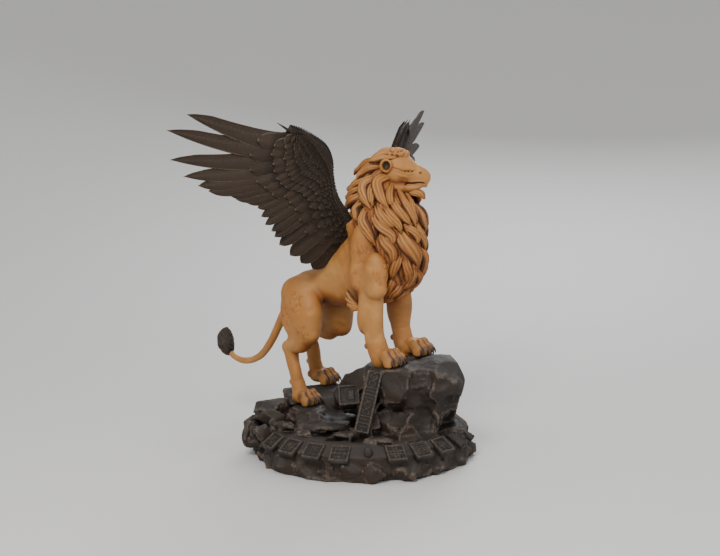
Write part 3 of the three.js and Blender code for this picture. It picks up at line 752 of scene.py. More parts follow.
# rows down the mane's column: x, y, z, half length, half width
MANE_ROWS = [
    (27, 2, 249, 13, 12), (20, 1.5, 234, 18.3, 17), (20, 1, 219, 23, 21.6),
    (24, 0.5, 204, 26.8, 25), (26.5, 0, 189, 27.5, 24.5), (28.5, 0, 174, 26.5, 22),
    (30, 0, 159, 22, 17.5), (30.5, 0, 145, 13.5, 11), (28.5, 0, 131, 3, 3),
]


def mane_point(drop, turn, lift):
    """A point of the mane: drop runs 0 to 1 down it, turn is degrees from the front and lift
    stands off it. Its level sections are ellipses about a curved column."""
    row = spline_at(MANE_ROWS, drop)
    c, s = np.cos(np.radians(turn)), np.sin(np.radians(turn))
    return np.stack([row[..., 0] + (row[..., 3] + lift) * c,
                     row[..., 1] + (row[..., 4] + lift) * s, row[..., 2]], axis=-1)


def mane_normal(drop, turn):
    """Outward direction of the mane's ellipse, leaning up or down with the column's girth."""
    row = spline_at(MANE_ROWS, drop)
    ahead = spline_at(MANE_ROWS, np.clip(drop + 0.02, 0, 1))
    c, s = np.cos(np.radians(turn)), np.sin(np.radians(turn))
    flat = unit(np.stack([c * row[..., 4], s * row[..., 3], 0 * c], axis=-1))
    grow = (ahead[..., 3] - row[..., 3]) / np.maximum(row[..., 2] - ahead[..., 2], 1e-3)
    flat[..., 2] = np.clip(grow, -1.2, 0.4)
    return unit(flat)


MANE_STATIONS = 26
TIER_LOCKS = (9, 12, 14, 14, 14, 14, 13, 12, 9)
SIDE_LOCKS = [
    # half width, then four places along each lock: per cent down the mane and
    # degrees round from its front
    (4.6, 12, -41, 15, -66, 24, -61, 33, -50), (3.2, 17, -31, 22, -44, 28, -45, 31, -43),
    (4.6, 11, -70, 16, -93, 24, -92, 33, -79), (3.2, 14, -73, 20, -79, 26, -77, 31, -75),
    (3.9, 5, -78, 6, -100, 10, -113, 15, -113), (3.3, 1, -98, 3, -128, 8, -144, 12, -146),
    (3.6, 13, -94, 16, -112, 20, -128, 23, -146), (3.7, 17, -96, 21, -116, 26, -138, 29, -146),
    (3.7, 23, -98, 27, -118, 32, -138, 36, -146), (3.2, 29, -104, 33, -110, 37, -109, 42, -106),
    (4.6, 31, -96, 40, -96, 48, -88, 57, -81), (4.0, 32, -84, 42, -72, 50, -53, 58, -56),
    (4.2, 29, -74, 36, -66, 41, -55, 45, -47), (3.8, 30, -61, 36, -51, 42, -42, 49, -37),
    (3.7, 24, -36, 31, -39, 38, -30, 44, -19), (3.3, 20, -16, 28, -21, 35, -18, 46, -10),
    (3.2, 23, 8, 29, -6, 36, -12, 43, -3), (3.4, 42, -34, 47, -19, 52, -12, 57, -15),
    (6.2, 46, -42, 55, -33, 63, -17, 72, -6), (4.5, 46, -69, 54, -65, 61, -56, 70, -57),
    (3.8, 61, -38, 68, -50, 74, -58, 80, -60), (3.9, 63, -33, 71, -32, 77, -28, 84, -28),
    (3.8, 69, -20, 76, -15, 82, -17, 89, -29), (3.8, 77, -52, 84, -64, 90, -76, 96, -90),
    (3.6, 81, -32, 88, -44, 92, -57, 97, -70), (3.4, 29, 18, 37, 10, 43, 12, 50, 21),
    (3.6, 40, -5, 48, -4, 55, 5, 61, 9), (3.8, 55, -3, 64, 10, 72, 16, 79, 13),
    (3.8, 70, -4, 78, 12, 84, 21, 90, 4), (3.6, 86, 12, 90, -4, 94, -20, 98, -34),
]


def mane_locks():
    """Paths down and round the mane, half widths and heights of its locks. Tiers of scattered
    locks lie underneath, swept back from the face high up and forward low down. The locks drawn
    one by one lie over them, and those well to the side are repeated on the other side."""
    run = np.linspace(0, 1, MANE_STATIONS)
    drops, turns, sizes, raised = [], [], [], []
    for tier, count in enumerate(TIER_LOCKS):
        for i in range(count):
            seed = tier * 37 + i
            turn = -180 + 360 * (i + 0.5 * (tier % 2) + 0.5 * (scatter(seed) - 0.5)) / count
            start = 0.03 + 0.086 * tier + 0.03 * (scatter(seed, 1) - 0.5)
            off_face = abs(turn - HEAD_TURN)
            if off_face < 80 and start < 0.1 + 0.1 * (off_face < 62):
                continue
            length = min(0.25 + 0.07 * (scatter(seed, 2) - 0.5), 0.99 - start)
            high = 1 - float(ramp(start, 0.12, 0.38))
            around = math.sin(math.radians(turn))
            sweep = (28 * high - 26 * (1 - high)) * around + 14 * (scatter(seed, 3) - 0.5)
            curl = (6 + 6 * scatter(seed, 5)) * math.copysign(1, scatter(seed, 4) - 0.4)
            drops.append(start + length * run)
            turns.append(turn + sweep * run + curl * np.sin(2 * np.pi * (0.8 * run + 0.1)) * run)
            sizes.append(4.6 + 1.6 * (scatter(seed, 6) - 0.5))
            raised.append(-1.6)
    for half, *places in SIDE_LOCKS:
        path = spline(np.reshape(places, (-1, 2)), MANE_STATIONS)
        mirrored_too = path[:, 1].max() < -25
        for sign in (1, -1) if mirrored_too else (1,):
            drops.append(path[:, 0] / 100)
            turns.append(path[:, 1] * sign)
            sizes.append(half * 1.12)
            raised.append(1.3)
    return np.array(drops), np.array(turns), np.array(sizes)[:, None], np.array(raised)[:, None]


def mane_layer(drop, turn, wide, raised, seed, around):
    """Locks that lie on the mane along (drop, turn) paths, their roots sunk into it."""
    run = np.linspace(0, 1, drop.shape[1])[None]
    lift = -5.2 + 6.6 * ramp(run, -0.05, 0.42) + 1.4 * np.sin(np.pi * run) * scatter(seed, 7)
    lift = raised + lift + 1.6 * ramp(run, 0.8, 1.0) * (scatter(seed, 8) - 0.6)
    lift = lift * (1 - 0.35 * ramp(drop, 0.85, 1)) + 0.4 * raised * ramp(run, 0.2, 0.6)
    behind = ramp(np.abs(turn[:, -1:]), 100, 118) * ramp(drop[:, -1:], 0.5, 0.42)
    lift = lift + 3.6 * behind * ramp(run, 0.6, 1.0)
    swell = np.sin(np.pi * np.clip(0.02 + 0.9 * run ** 0.8, 0, 1)) ** 0.7
    half = wide * (0.12 + 0.88 * swell) * (1 - 0.62 * ramp(run, 0.72, 1.0)) + 0.1
    thick = (2.9 + 0.25 * wide) * (0.3 + 0.7 * swell) * (1 - 0.62 * ramp(run, 0.82, 1.0)) + 0.1
    points, faces, layers = locks(mane_point(drop, turn, lift), mane_normal(drop, turn), half,
                                  thick, 3.2, seed[:, 0], around)
    # Painted shade: darker lower down the mane and much darker on the tier locks under the drawn
    # ones. The tone leans to the warmer, darker paint towards the bottom.
    low = ramp(points[:, 2], 195, 150)
    layers["open"] = layers["open"] * (1 - 0.22 * low) * (0.86 if raised[0, 0] > 0 else 0.5)
    layers["tone"] = np.clip(tone(points) + 0.5 * low, 0, 1)
    return points, faces, layers


def mane_parts():
    """The drawn locks, the tiers under them with half the stations, the core and the free hair."""
    drop, turn, wide, raised = mane_locks()
    seed = np.arange(len(drop))[:, None]
    over = raised[:, 0] > 0
    under = ~over
    return [mane_layer(drop[over], turn[over], wide[over], raised[over], seed[over], 30),
            mane_layer(drop[under][:, ::2], turn[under][:, ::2], wide[under], raised[under],
                       seed[under], 14),
            mane_core(), *extra_locks()]


def mane_core():
    """The form under the locks, painted in deep shade: the mane's own column, drawn in a little."""
    drop = np.linspace(0.0, 0.99, 40)[:, None]
    turn = np.linspace(0, 360, 48, endpoint=False)[None]
    rings = mane_point(drop + 0 * turn, -turn + 0 * drop, -2.6 + 0 * turn)[None]
    points, faces = closed_tubes(rings)
    return points, faces, {"open": 0.15, "tone": 0.3}


# The head, drawn forward, left and up from the middle of the skull

HEAD_TURN = 24.0
SKULL = np.array([33.0, 2.0, 241.0])
HEAD_CELL = 0.45


def from_head(points):
    """Points of the head's own grid in the row's frame: turned about the upright, then moved."""
    f, l, u = np.moveaxis(np.asarray(points, float), -1, 0)
    return np.stack([*turned(f, l, HEAD_TURN), u], axis=-1) + SKULL


def head_field():
    """The skull, hooked beak, jaw, neck, ear rings and the thick mat of hair on the crown."""
    field = Field((-27, -20, -27), (31, 20, 20), HEAD_CELL)
    skull = [(-15, 0, 1, 6, 8), (-7, 0, 0.9, 11.4, 12.0), (1, 0, 0.4, 11.6, 12.4),
             (7.5, 0, -2.4, 9.6, 10.0), (13, 0, -4.6, 7.2, 8.2), (18, 0, -6.0, 5.4, 7.0),
             (22, 0, -7.6, 4.2, 5.8), (23.4, 0, -9.4, 2.8, 4.2)]
    field.merge(limb(skull, 26), 1)
    field.merge(limb([(12, 0, 0.9, 4.4, 3.4), (17, 0, -1.1, 3.7, 3.2), (21.0, 0, -3.7, 3.0, 3.0),
                      (23.2, 0, -7.2, 2.5, 2.6), (23.8, 0, -11.2, 1.7, 1.7),
                      (23.9, 0, -13.8, 0.9, 0.9), (23.7, 0, -15.6, 0.3, 0.3)], 22), 2)
    field.merge(limb([(-5, 0, -13.5, 8.4, 7), (4, 0, -15.4, 7.4, 5), (11, 0, -15.8, 5.4, 3.6),
                      (17, 0, -14.7, 3.7, 2.5), (21, 0, -13.7, 2.3, 1.4)], 18), 3)
    field.merge(limb([(-9, 0, -14, 9, 9), (-2, 0, -21, 8, 6), (0, 0, -27, 9, 6)], 10), 6)
    field.merge(limb([(-13, 0, 8.6, 6.4, 3.2), (-5, 0, 11.2, 8.6, 3.7), (2.5, 0, 11.5, 8.8, 3.5),
                      (6.8, 0, 10.3, 6.8, 2.8)], 14), 1.0)
    for side in (-1, 1):
        field.merge(ellipsoid((2, 8.6 * side, -5.5), (8, 3.4, 5), -14 * side, 10), 4)
        field.merge(ellipsoid((-7.0, 12.0 * side, 2.4), (4.8, 3.6, 5.2), -14 * side), 1.4)
        field.merge(ellipsoid((-6.6, 14.2 * side, 2.4), (4.9, 2.3, 5.5), -14 * side), 0.7)
        field.carve(ellipsoid((-6.0, 16.4 * side, 2.3), (3.5, 5.8, 4.1), -10 * side), 0.5)
    return field


# lines on the side of the head, forward and up: the eye's opening is how deep it gapes there
BROW_EDGE = [(-3, 1.6), (1.4, 0.3), (6, -0.9), (10, -0.7), (14, -1.4), (18, -2.4)]
BROW_TOP = [(-3, 4.2), (2.2, 5.2), (6, 6.4), (9.5, 6.4), (13, 4.6), (15, 2.4), (18, -1.2)]
EYE_OPEN = [(0, 0), (4, 0.4), (6.4, 0.9), (9, 2.2), (12, 2.3), (14, 1.1), (15.2, 0)]
MOUTH_LINE = [(7.2, -13.8), (8.8, -12.0), (13.5, -11.9), (19, -11.4), (22.6, -12.0), (24.2, -13.6)]


def curve_height(line, forward):
    """How high a curve drawn on the side of the head runs at each place forward."""
    path = spline(line, 40)
    return np.interp(forward, path[:, 0], path[:, 1])


def bell(distance, width):
    """A bell from 1 where distance is 0, down to about a third at width."""
    return np.exp(-(distance / width) ** 2)


def head_features(f, l, u):
    """The face as a height off the skin, as painted shade in the eye's slit, the mouth's gape and
    the nostril, and as painted shade in the cheek hollow and under the eye, all drawn on the side
    of the
    head: an overhanging brow, a narrow eye under it, a lower lid, a cheek hollow, the mouth's line
    between its lips, a fold at its corner and a nostril."""
    side = ramp(np.abs(l), 1.6, 3.6)
    edge = curve_height(BROW_EDGE, f)
    above = u - edge
    within = ramp(f, -3, 1) * ramp(f, 17.5, 12.5)
    share = np.clip(above / np.maximum(curve_height(BROW_TOP, f) - edge, 0.8), 0, 1.4)
    brow = within * ramp(above, -0.45, 0.4) * (1 - 0.9 * ramp(share, 0.1, 1.4))
    opening = curve_height(EYE_OPEN, f)
    slit = ramp(-above, -0.25, 0.45) * ramp(-above, opening + 0.5, opening - 0.5)
    slit = slit * ramp(opening, 0.2, 1.0)
    lid = bell(-above - opening - 0.95, 0.75) * ramp(f, 1, 4) * ramp(f, 15.4, 13.6)
    bag = bell(u + 5.4 + 0.22 * (f - 5), 1.3) * ramp(f, 1, 4) * ramp(f, 12, 9)
    hollow = np.clip(1 - ((f - 6.0) / 5.5) ** 2 - ((u + 9.8) / 3.6) ** 2, 0, 1) ** 1.5
    line = u - curve_height(MOUTH_LINE, f)
    along = ramp(f, 7.3, 8.0) * ramp(f, 25.0, 24.2)
    gape = ramp(np.abs(line), 0.95, 0.4) * along
    lips = bell(line - 1.35, 0.75) + 1.1 * bell(line + 1.25, 0.7)
    lips = lips * ramp(f, 8.2, 10) * ramp(f, 24.4, 22.8)
    around = np.hypot(f - 8.6, u + 12.9)
    fold = bell(around - 2.3, 0.9) * ramp(f, 9.6, 8.0)
    nostril = bell(np.hypot((f - 19.9) / 1.2, u + 3.6), 0.75)
    rim = bell(np.hypot((f - 19.9) / 1.2, u + 3.6) - 1.5, 0.5) * ramp(f, 18, 20)
    height = side * (1.5 * brow - 1.6 * slit + 0.4 * lid + 0.7 * bag
                     - 0.9 * hollow - 1.4 * gape + 0.55 * lips + 0.8 * fold - 1.1 * nostril
                     + 0.3 * rim)
    # Painted shade, through the dark paint, in the eye's slit, the mouth's gape and the nostril.
    dark = side * np.clip(0.85 * slit + 0.95 * gape + 1.1 * nostril, 0, 1)
    # Painted shade in the cheek hollow and under the eye.
    face_shade = side * np.clip(hollow ** 0.7 + 0.6 * bell(above + opening + 2.2, 0.8), 0, 1)
    return height, dark, face_shade


def skin_at(skin, f, u, side):
    """How far out the head's skin lies at places forward and up drawn on one side of it."""
    near = skin[(skin[:, 1] * side > 2) & (np.abs(skin[:, 0] - 9) < 9) & (np.abs(skin[:, 2]) < 7)]
    gap = (near[None, :, 0] - f[:, None]) ** 2 + (near[None, :, 2] - u[:, None]) ** 2
    share = np.exp(-gap / 0.4)
    return (share * near[None, :, 1]).sum(axis=1) / share.sum(axis=1)


EYE_RADIUS, EYE_SUNK = 2.9, 2.6


def eye_parts(skin):
    """Each eye: a ball sunk into its slit, with a dark iris, between an upper and a lower lid
    that are rolls of skin."""
    parts = []
    turn = np.linspace(0, np.pi, 33)
    forward = np.linspace(4.4, 15.0, 30)
    swell = np.sin(np.pi * np.linspace(0, 1, 30)) ** 0.5
    brow = curve_height(BROW_EDGE, forward)
    opening = curve_height(EYE_OPEN, forward)
    for side in (-1, 1):
        for up, out, thick in ((brow + 0.2, 0.65, 0.85), (brow - opening - 0.3, -0.25, 0.5)):
            away = skin_at(skin, forward, up, side) + out * side
            path = np.stack([forward, away, up], axis=1)
            points, faces = round_tube(path, 0.12 + thick * swell, 12)
            placed = from_head(points)
            parts.append((placed, faces, {"open": 0.86, "tone": tone(placed), "light": 0.25}))
        middle = np.array([10.1, 0, -1.85])
        middle[1] = skin_at(skin, middle[:1], middle[2:], side)[0] - EYE_SUNK * side
        path = middle + np.stack([-np.cos(turn), 0 * turn, 0 * turn], axis=1) * EYE_RADIUS
        points, faces = round_tube(path, EYE_RADIUS * np.sin(turn) + 1e-3, 48)
        iris = ramp(np.hypot(points[:, 0] - 10.9, points[:, 2] + 1.7), 1.3, 1.0)
        parts.append((from_head(points), faces, {"open": 1 - 0.3 * iris, "dark": iris,
                                                 "light": 1.2 * (1 - iris)}))
    return parts


def head_parts():
    """The head's surface moved in and out by its features and by the crown's curls, which are
    ridges of noise, and the two eyes."""
    field = head_field()
    points, quads, normals = surface_of(field)
    eyes = eye_parts(points)
    f, l, u = points.T
    height, dark, face_shade = head_features(f, l, u)
    curly = ramp(u - 0.15 * np.abs(l) - 0.5 * np.maximum(f - 2, 0), 6.6, 8.0) * ramp(f, 10.5, 8.5)
    curls = 1 - 2.2 * np.abs(noise(points, 2.2, 21)) + 0.6 * noise(points, 1.0, 23)
    curls = np.maximum(curls, -0.35)
    bridge = ramp(u + 0.6 * (f - 12), 2.2, 4.0) * ramp(f, 11, 13) * ramp(np.abs(l), 4, 2)
    shift = height * (1 - curly) + 1.25 * curly * curls + 0.35 * bridge * noise(points, 1.6, 24)
    open_air = openness(field, points, normals, 3.0)
    points = points + normals * shift[:, None]
    # Painted shade under the jaw, between the crown's curls, in the cheek hollow and under the eye.
    under = ramp(-u, 13.5, 18) * ramp(f, 24, 12)
    open_air = np.clip(open_air - 0.45 * curly * ramp(curls, 0.6, -0.1), 0, 1)
    open_air = open_air * (1 - 0.34 * np.maximum(under, face_shade))
    inner_ear = ramp(((f + 6.2) / 3.4) ** 2 + ((u - 2.3) / 4.0) ** 2, 1.0, 0.65)
    inner_ear = inner_ear * ramp(np.abs(l), 9, 11) * ramp(np.abs(l), 15.6, 13.0)
    dark = np.maximum(dark, 0.9 * inner_ear)
    placed = from_head(points)
    # Painted highlight on the crests of the curls, and a lighter share towards the front of the
    # head.
    light = np.maximum(0.5 * curly * ramp(curls, 0.2, 0.9), 0.6 * ramp(f, 2, 12)) * (1 - dark)
    return [(placed, [quads], {"open": open_air, "dark": dark, "tone": tone(placed),
                               "light": light}), *eyes]


def free_locks(curves, sizes, first_seed):
    """Locks that stand free along their curves, each with its half width and thickness. A curve
    is a few points in the row's frame and the place that the lock bulges away from."""
    paths = np.array([spline(points, 24) for points, _ in curves])
    outward = unit(paths - np.array([middle for _, middle in curves])[:, None])
    sizes = np.array(sizes)
    run = np.linspace(0, 1, paths.shape[1])[None]
    swell = np.sin(np.pi * (0.04 + 0.86 * run)) ** 0.7 * (1 - 0.5 * ramp(run, 0.75, 1.0))
    half = sizes[:, :1] * swell + 0.12
    thick = sizes[:, 1:] * (0.35 + 0.65 * swell) * (1 - 0.6 * ramp(run, 0.85, 1.0)) + 0.1
    points, faces, layers = locks(paths, outward, half, thick, 3.0,
                                  np.arange(len(sizes)) + first_seed, 26)
    layers["tone"] = tone(points)
    return points, faces, layers


def extra_locks():
    """The hair swept back from the crown, the ragged tufts at the elbows and the pair of locks
    under the chin."""
    curves, sizes, chin = [], [], []
    core = np.array([-4.0, 0.0, 0.0])
    for i in range(7):
        l = -10.5 + 3.5 * i
        curves.append((from_head([(1, 0.8 * l, 11.4 - 0.03 * l * l), (-9, l, 13.8 - 0.05 * l * l),
                                  (-15, 1.2 * l, 10.4 - 0.03 * l * l),
                                  (-20 - 2 * scatter(i), 1.35 * l, 7 - 4 * scatter(i, 1))]),
                       from_head(core)))
        sizes.append((3.4, 2.8))
    for side in (-1, 1):
        root = np.array([16.5, 24 * side, 130])
        for rise, reach in ((52, 17), (33, 14.5), (10, 11.5), (-14, 8)):
            away = np.array([-math.cos(math.radians(rise)), 0.35 * side,
                             math.sin(math.radians(rise))])
            curves.append(([root, root + 0.35 * reach * away + (0, 1.6 * side, -0.8),
                            root + 0.7 * reach * away + (0, 1.8 * side, -0.9),
                            root + reach * away], np.array([24.0, 10 * side, 132])))
            sizes.append((2.5, 2.6))
        chin.append((from_head([(7, 0.9 * side, -17.5), (13, 1.0 * side, -19.4),
                                (19.2, 1.0 * side, -20.6), (22.8, 0.8 * side, -24.8)]),
                     from_head([15, -50 * side, -10])))
    points, faces, layers = free_locks(chin, [(3.1, 2.7)] * 2, 920)
    # The chin locks keep no deeper painted shade than this.
    layers["open"] = np.maximum(layers["open"], 0.6)
    return [free_locks(curves, sizes, 900), (points, faces, layers)]


def tuft_parts():
    """The tail's tuft: a core of rings about its path under locks that wind up round it."""
    path = spline(TUFT, 26)
    # The core is dark paint held in painted shade under its locks.
    core = (*round_tube(path[:, :3], path[:, 3] * 0.86, 24),
            {"open": 0.2, "dark": 1.0, "tone": 0.5})
    index = np.arange(26)
    layer = index // 13
    turn = 2 * np.pi * (index % 13 + 0.5 * layer) / 13
    run = np.linspace(0, 1, 22)[None]
    start = 0.04 + 0.3 * layer[:, None] + 0.08 * scatter(index, 1)[:, None]
    place = np.clip(start + (0.62 + 0.12 * scatter(index, 2)[:, None]) * run, 0, 0.995)
    row = spline_at(TUFT, place)
    angle = turn[:, None] + 1.1 * run + 0.5 * np.sin(2 * np.pi * run + index[:, None])
    along = unit(np.gradient(row[..., :3], axis=1))
    side = unit(np.cross(along, SIDE))
    away = side * np.cos(angle)[..., None] + np.cross(side, along) * np.sin(angle)[..., None]
    paths = row[..., :3] + away * (row[..., 3] * 0.9 + 0.5 * ramp(run, 0.6, 1.0))[..., None]
    swell = np.sin(np.pi * (0.15 + 0.75 * run)) ** 0.7
    half = 2.1 * swell + 0.1 + 0 * place
    points, faces, layers = locks(paths, away, half, 1.5 * swell + 0.1 + 0 * place, 3.0, index, 14)
    layers.update({"dark": 1.0, "tone": 0.5})
    return [core, (points, faces, layers)]


# Wings, laid out on a sheet in millimetres out and up from the shoulder

WING_ROOT = np.array([0.7, -16, 188.4])
WING_SWEEP = 25.0
WING_LEAN = 10.0
FRONT_EDGE = [(62, 88), (50, 85), (38, 79), (29, 72), (24, 62), (22, 48), (17, 33), (8, 20),
              (-2, 8)]
QUILL_LINE = [(70, 79), (68, 66), (62, 55), (54, 47), (44, 43), (36, 36), (30, 20), (17, 3),
              (4, -12)]
TIPS = [(147, 98), (161, 86), (159, 64), (147, 51), (135, 43), (126, 39), (109, 35), (103, 31),
        (94, 28), (85, 24), (82, 17), (78, 10), (71, 4), (67, -2), (62, -10), (52, -19), (41, -27),
        (29, -33), (16, -34)]
QUILL = 0.45  # the reach at which a feather leaves the quill line


def wing_axes():
    """Directions of the right wing's sheet: out along the span, up it and off it."""
    sweep, lean = math.radians(WING_SWEEP), math.radians(WING_LEAN)
    out = np.array([-math.sin(sweep), -math.cos(sweep), 0])
    back = np.array([-math.cos(sweep), math.sin(sweep), 0])
    rise = UP * math.cos(lean) - back * math.sin(lean)
    return out, rise, np.cross(out, rise)


def wing_point(share, reach, lift, slide=0.0):
    """A point of the right wing: share runs along the span from hand 0 to shoulder 1, and reach
    from the front edge 0 through the quills to the feather tips 1, on a parabola through all
    three. slide moves along the span in millimetres, and lift is off the sheet, negative on its
    outer face."""
    share, reach, lift, slide = np.broadcast_arrays(share, reach, lift, slide)
    out, rise, off = wing_axes()
    front, quill, tip = (spline_at(line, share) for line in (FRONT_EDGE, QUILL_LINE, TIPS))
    r = reach[..., None]
    on = (front * (r - QUILL) * (r - 1) / QUILL + quill * r * (1 - r) / (QUILL * (1 - QUILL))
          + tip * r * (r - QUILL) / (1 - QUILL))
    run = unit(tip - 0.5 * (front + quill))
    on = on + np.stack([run[..., 1], -run[..., 0]], axis=-1) * slide[..., None]
    fold = 26 * reach * np.maximum(0, (share - 0.55) / 0.45) ** 2
    tuck = reach * np.maximum(0, (share - 0.7) / 0.3) ** 2
    return (WING_ROOT + on[..., :1] * out + on[..., 1:] * rise
            + (fold + lift)[..., None] * off
            + (11 * tuck)[..., None] * SIDE - (5 * tuck)[..., None] * UP)


def feathers(share, root, tip, wide, thick, lifts, face, blunt, sharp, bare, seeds, stations,
             around):
    """Many feathers at once, one per share. Each runs from reach root to reach tip, is wide
    across in millimetres either side of its shaft and rounds off over its last part, blunt. sharp
    runs from an even feather with a round end 0 to one 1 that is straight on its leading side
    and curves to a point from its other side. The section is a thin lens with a raised shaft.
    bare holds where along the feather the row above stops shading it and where it is fully lit,
    and face is -1 on the wing's outer side and 1 on its inner side."""
    columns = (np.asarray(v, float) + 0 * share for v in (root, tip, wide, blunt, sharp, *lifts))
    root, tip, wide, blunt, sharp, lift_root, lift_tip = (v[:, None, None] for v in columns)
    share = share[:, None, None]
    span = wing_point(share, tip, 0.0) - wing_point(share, root, 0.0)
    length = np.linalg.norm(span, axis=-1)
    seed = np.asarray(seeds, float)[:, None, None]
    run = np.linspace(0, 1, stations)[None, :, None]
    run = 1 - (1 - run) ** 1.5
    angle = ring_angles(around)[None, None]
    across, height = np.cos(angle), np.sin(angle)
    end = np.clip((1 - run) / blunt, 0, 1)
    leading = 0.55 * np.sqrt(np.clip((1 - run) / 0.12, 0, 1))
    pointed = np.where(across < 0, leading, 1.2 * (end * (2 - end)) ** 0.8)
    taper = np.sqrt(end * (2 - end)) * (1 - sharp) + sharp * pointed
    taper = taper * (0.6 + 0.4 * ramp(run, 0, 0.3))
    slide = wide * (taper * across + 0.3 * (scatter(seed, 2) - 0.5) * run * (1 - sharp))
    shaft = np.exp(-(across / 0.14) ** 2) * (1 - 0.8 * run) * (0.3 + 0.7 * sharp)
    crown = np.abs(height) ** 0.8 * (0.55 + 0.3 * (1 - across ** 2)) + 0.5 * shaft * (height > 0)
    rise = thick * (0.35 + 0.65 * taper) * np.where(height > 0, crown, -0.5 * crown)
    ripple = 0.12 * np.sin(2 * np.pi * (5 * run + 1.5 * np.abs(across) + seed)) * np.abs(across)
    lift = face * (lift_root + (lift_tip - lift_root) * run + rise + ripple * (height > 0)
                   + 0.085 * wide * across)
    reach = root + (tip - root) * run - 0.012 * across ** 2 * run
    points, faces = closed_tubes(wing_point(share, reach, lift, slide))
    even = np.zeros(lift.shape)
    inset = np.minimum(1.4 * wide * taper * (1 - np.abs(across)), (1 - run) * length)
    rim = ramp(inset, np.minimum(1.5, 0.42 * wide), 0.35) * ramp(run, 0.15, 0.7)
    light = np.clip(0.85 * rim + 0.4 * shaft, 0, 1) * (height > -0.3)
    # Painted shade where the row above overlaps, and on the side that a neighbour overlaps.
    open_air = 0.06 + 0.94 * ramp(run, *bare) * np.where(across > 0.5, 0.7, 1.0)
    barb = run * 34 + np.abs(across) * 7 + seed
    return points, faces, {"open": tube_layer(even + open_air), "light": tube_layer(even + light),
                           "barb": tube_layer(even + barb),
                           "tone": tube_layer(even + scatter(seed, 5))}


COVERT_ROWS = [
    # where the row ends, how many feathers, half widths at the hand and shoulder, lift, length
    (0.745, 13, 7.2, 5.9, 1.8, 0.36), (0.60, 17, 5.6, 4.8, 2.8, 0.29),
    (0.49, 21, 4.5, 3.9, 3.5, 0.24), (0.39, 26, 3.6, 3.3, 4.0, 0.20),
    (0.31, 31, 2.9, 2.8, 4.3, 0.16), (0.24, 36, 2.4, 2.4, 4.5, 0.13),
]


def wing_side(face):
    """All feathers on one face of the right wing."""
    index = np.arange(len(TIPS))
    share = index / (len(TIPS) - 1)
    finger = ramp(share, 0.45, 0.05)
    tips = 1.0 + 0.012 * (scatter(index, 1) - 0.5)
    wide = 4.8 + 3.8 * finger + 2.6 * ramp(share, 0.68, 0.88)
    blunt = 0.16 + 0.48 * ramp(share, 0.3, 0.08)
    parts = [feathers(share, 0.25, tips, wide, 1.3, (0.9, 0.2), face, blunt,
                      ramp(share, 0.27, 0.12), (0.15, 0.5), index + 7, 36, 18)]
    for row, (end, count, first, last, lift, long) in enumerate(COVERT_ROWS):
        index = np.arange(count)
        share = row_shares(row, count)
        ends = end * (0.86 + 0.14 * ramp(share, -0.05, 0.4)) + 0.022 * (scatter(index, row) - 0.5)
        wide = first + (last - first) * share
        stations, around = (14, 14) if row < 3 else (8, 8)
        parts.append(feathers(share, np.maximum(ends - long, 0.01), ends, wide, 1.5 - 0.1 * row,
                              (lift - 1.6, lift), face, 0.26, 0.05, (0.5, 0.86),
                              index + 100 * row, stations, around))
    return parts


CORE_STATIONS, CORE_AROUND = 90, 52
SCALE_ROWS, SCALES = 5, 44


def bone_at(share):
    """Half thickness of the wing's bone in millimetres, and the reach of its thickest place."""
    return 3.4 + 2.1 * share, 0.05 + 0.07 * share


def row_shares(row, count):
    """Places along the span of a row of feathers, each row half a feather on from the last."""
    return np.clip((np.arange(count) + 0.5 * (row % 2) + 0.25) / count, 0.004, 0.996)


def wing_core():
    """The wing's bone and skin: a long closed form from hand to shoulder that is thick along
    the front edge and thins out under the feathers, the same on both faces."""
    share = np.linspace(0.0, 1.0, CORE_STATIONS)[:, None]
    bone, edge = bone_at(share)
    inner = [(edge * 0.3, 0.75 * bone), (edge, bone), (edge * 2, 0.85 * bone),
             (edge * 3.6, 0.55 * bone), (0.42, 0.8), (0.62, 0.3)]
    rows = [(0, 0), *((reach, -off) for reach, off in inner), *inner[::-1]]
    control = np.array([[np.broadcast_to(v, share.shape)[:, 0] for v in row] for row in rows])
    closed = np.concatenate([control, control[:1]])
    fine = spline(closed.transpose(0, 2, 1).reshape(len(closed), -1), CORE_AROUND + 1)[:-1]
    fine = fine.reshape(CORE_AROUND, CORE_STATIONS, 2).transpose(1, 0, 2)
    rings = wing_point(share, np.clip(fine[..., 0], 0, 1), fine[..., 1])
    points, faces = closed_tubes(rings[None])
    scales = noise(points, 1.7, 31)
    return points, faces, {"open": 0.55 + 0.3 * scales, "light": ramp(scales, 0.25, 0.8) * 0.5,
                           "barb": 9 * scales, "tone": 0.5}


def scale_rows():
    """Small scale feathers wrapped round the wing's bone, row after row."""
    parts = []
    for face in (-1, 1):
        for row in range(SCALE_ROWS):
            share = row_shares(row, SCALES)
            bone, edge = bone_at(share)
            ends = edge * (1.55 - 0.3 * row) + 0.012
            lift = bone * (0.99 - 0.045 * row ** 1.5)
            parts.append(feathers(share, np.maximum(ends - 0.045, 0.0), ends, 2.0, 0.7,
                                  (lift - 0.5, lift + 0.05), face, 0.5, 0.0, (0.2, 0.7),
                                  np.arange(SCALES) + 700 + 50 * row, 6, 8))
    return parts


def sheet_point(out_along, up_along, off_sheet):
    """A point of the right wing's flat sheet from millimetres out, up and off it."""
    out, rise, off = wing_axes()
    return WING_ROOT + out_along * out + up_along * rise + off_sheet * off


SPIKES = [
    # from, by way of, to, on the wing's sheet, and half width: the stiff feathers at the wrist
    ((40, 77), (57, 82), (73, 91), 1.7), ((44, 80), (54, 84.5), (62, 88), 1.4),
]


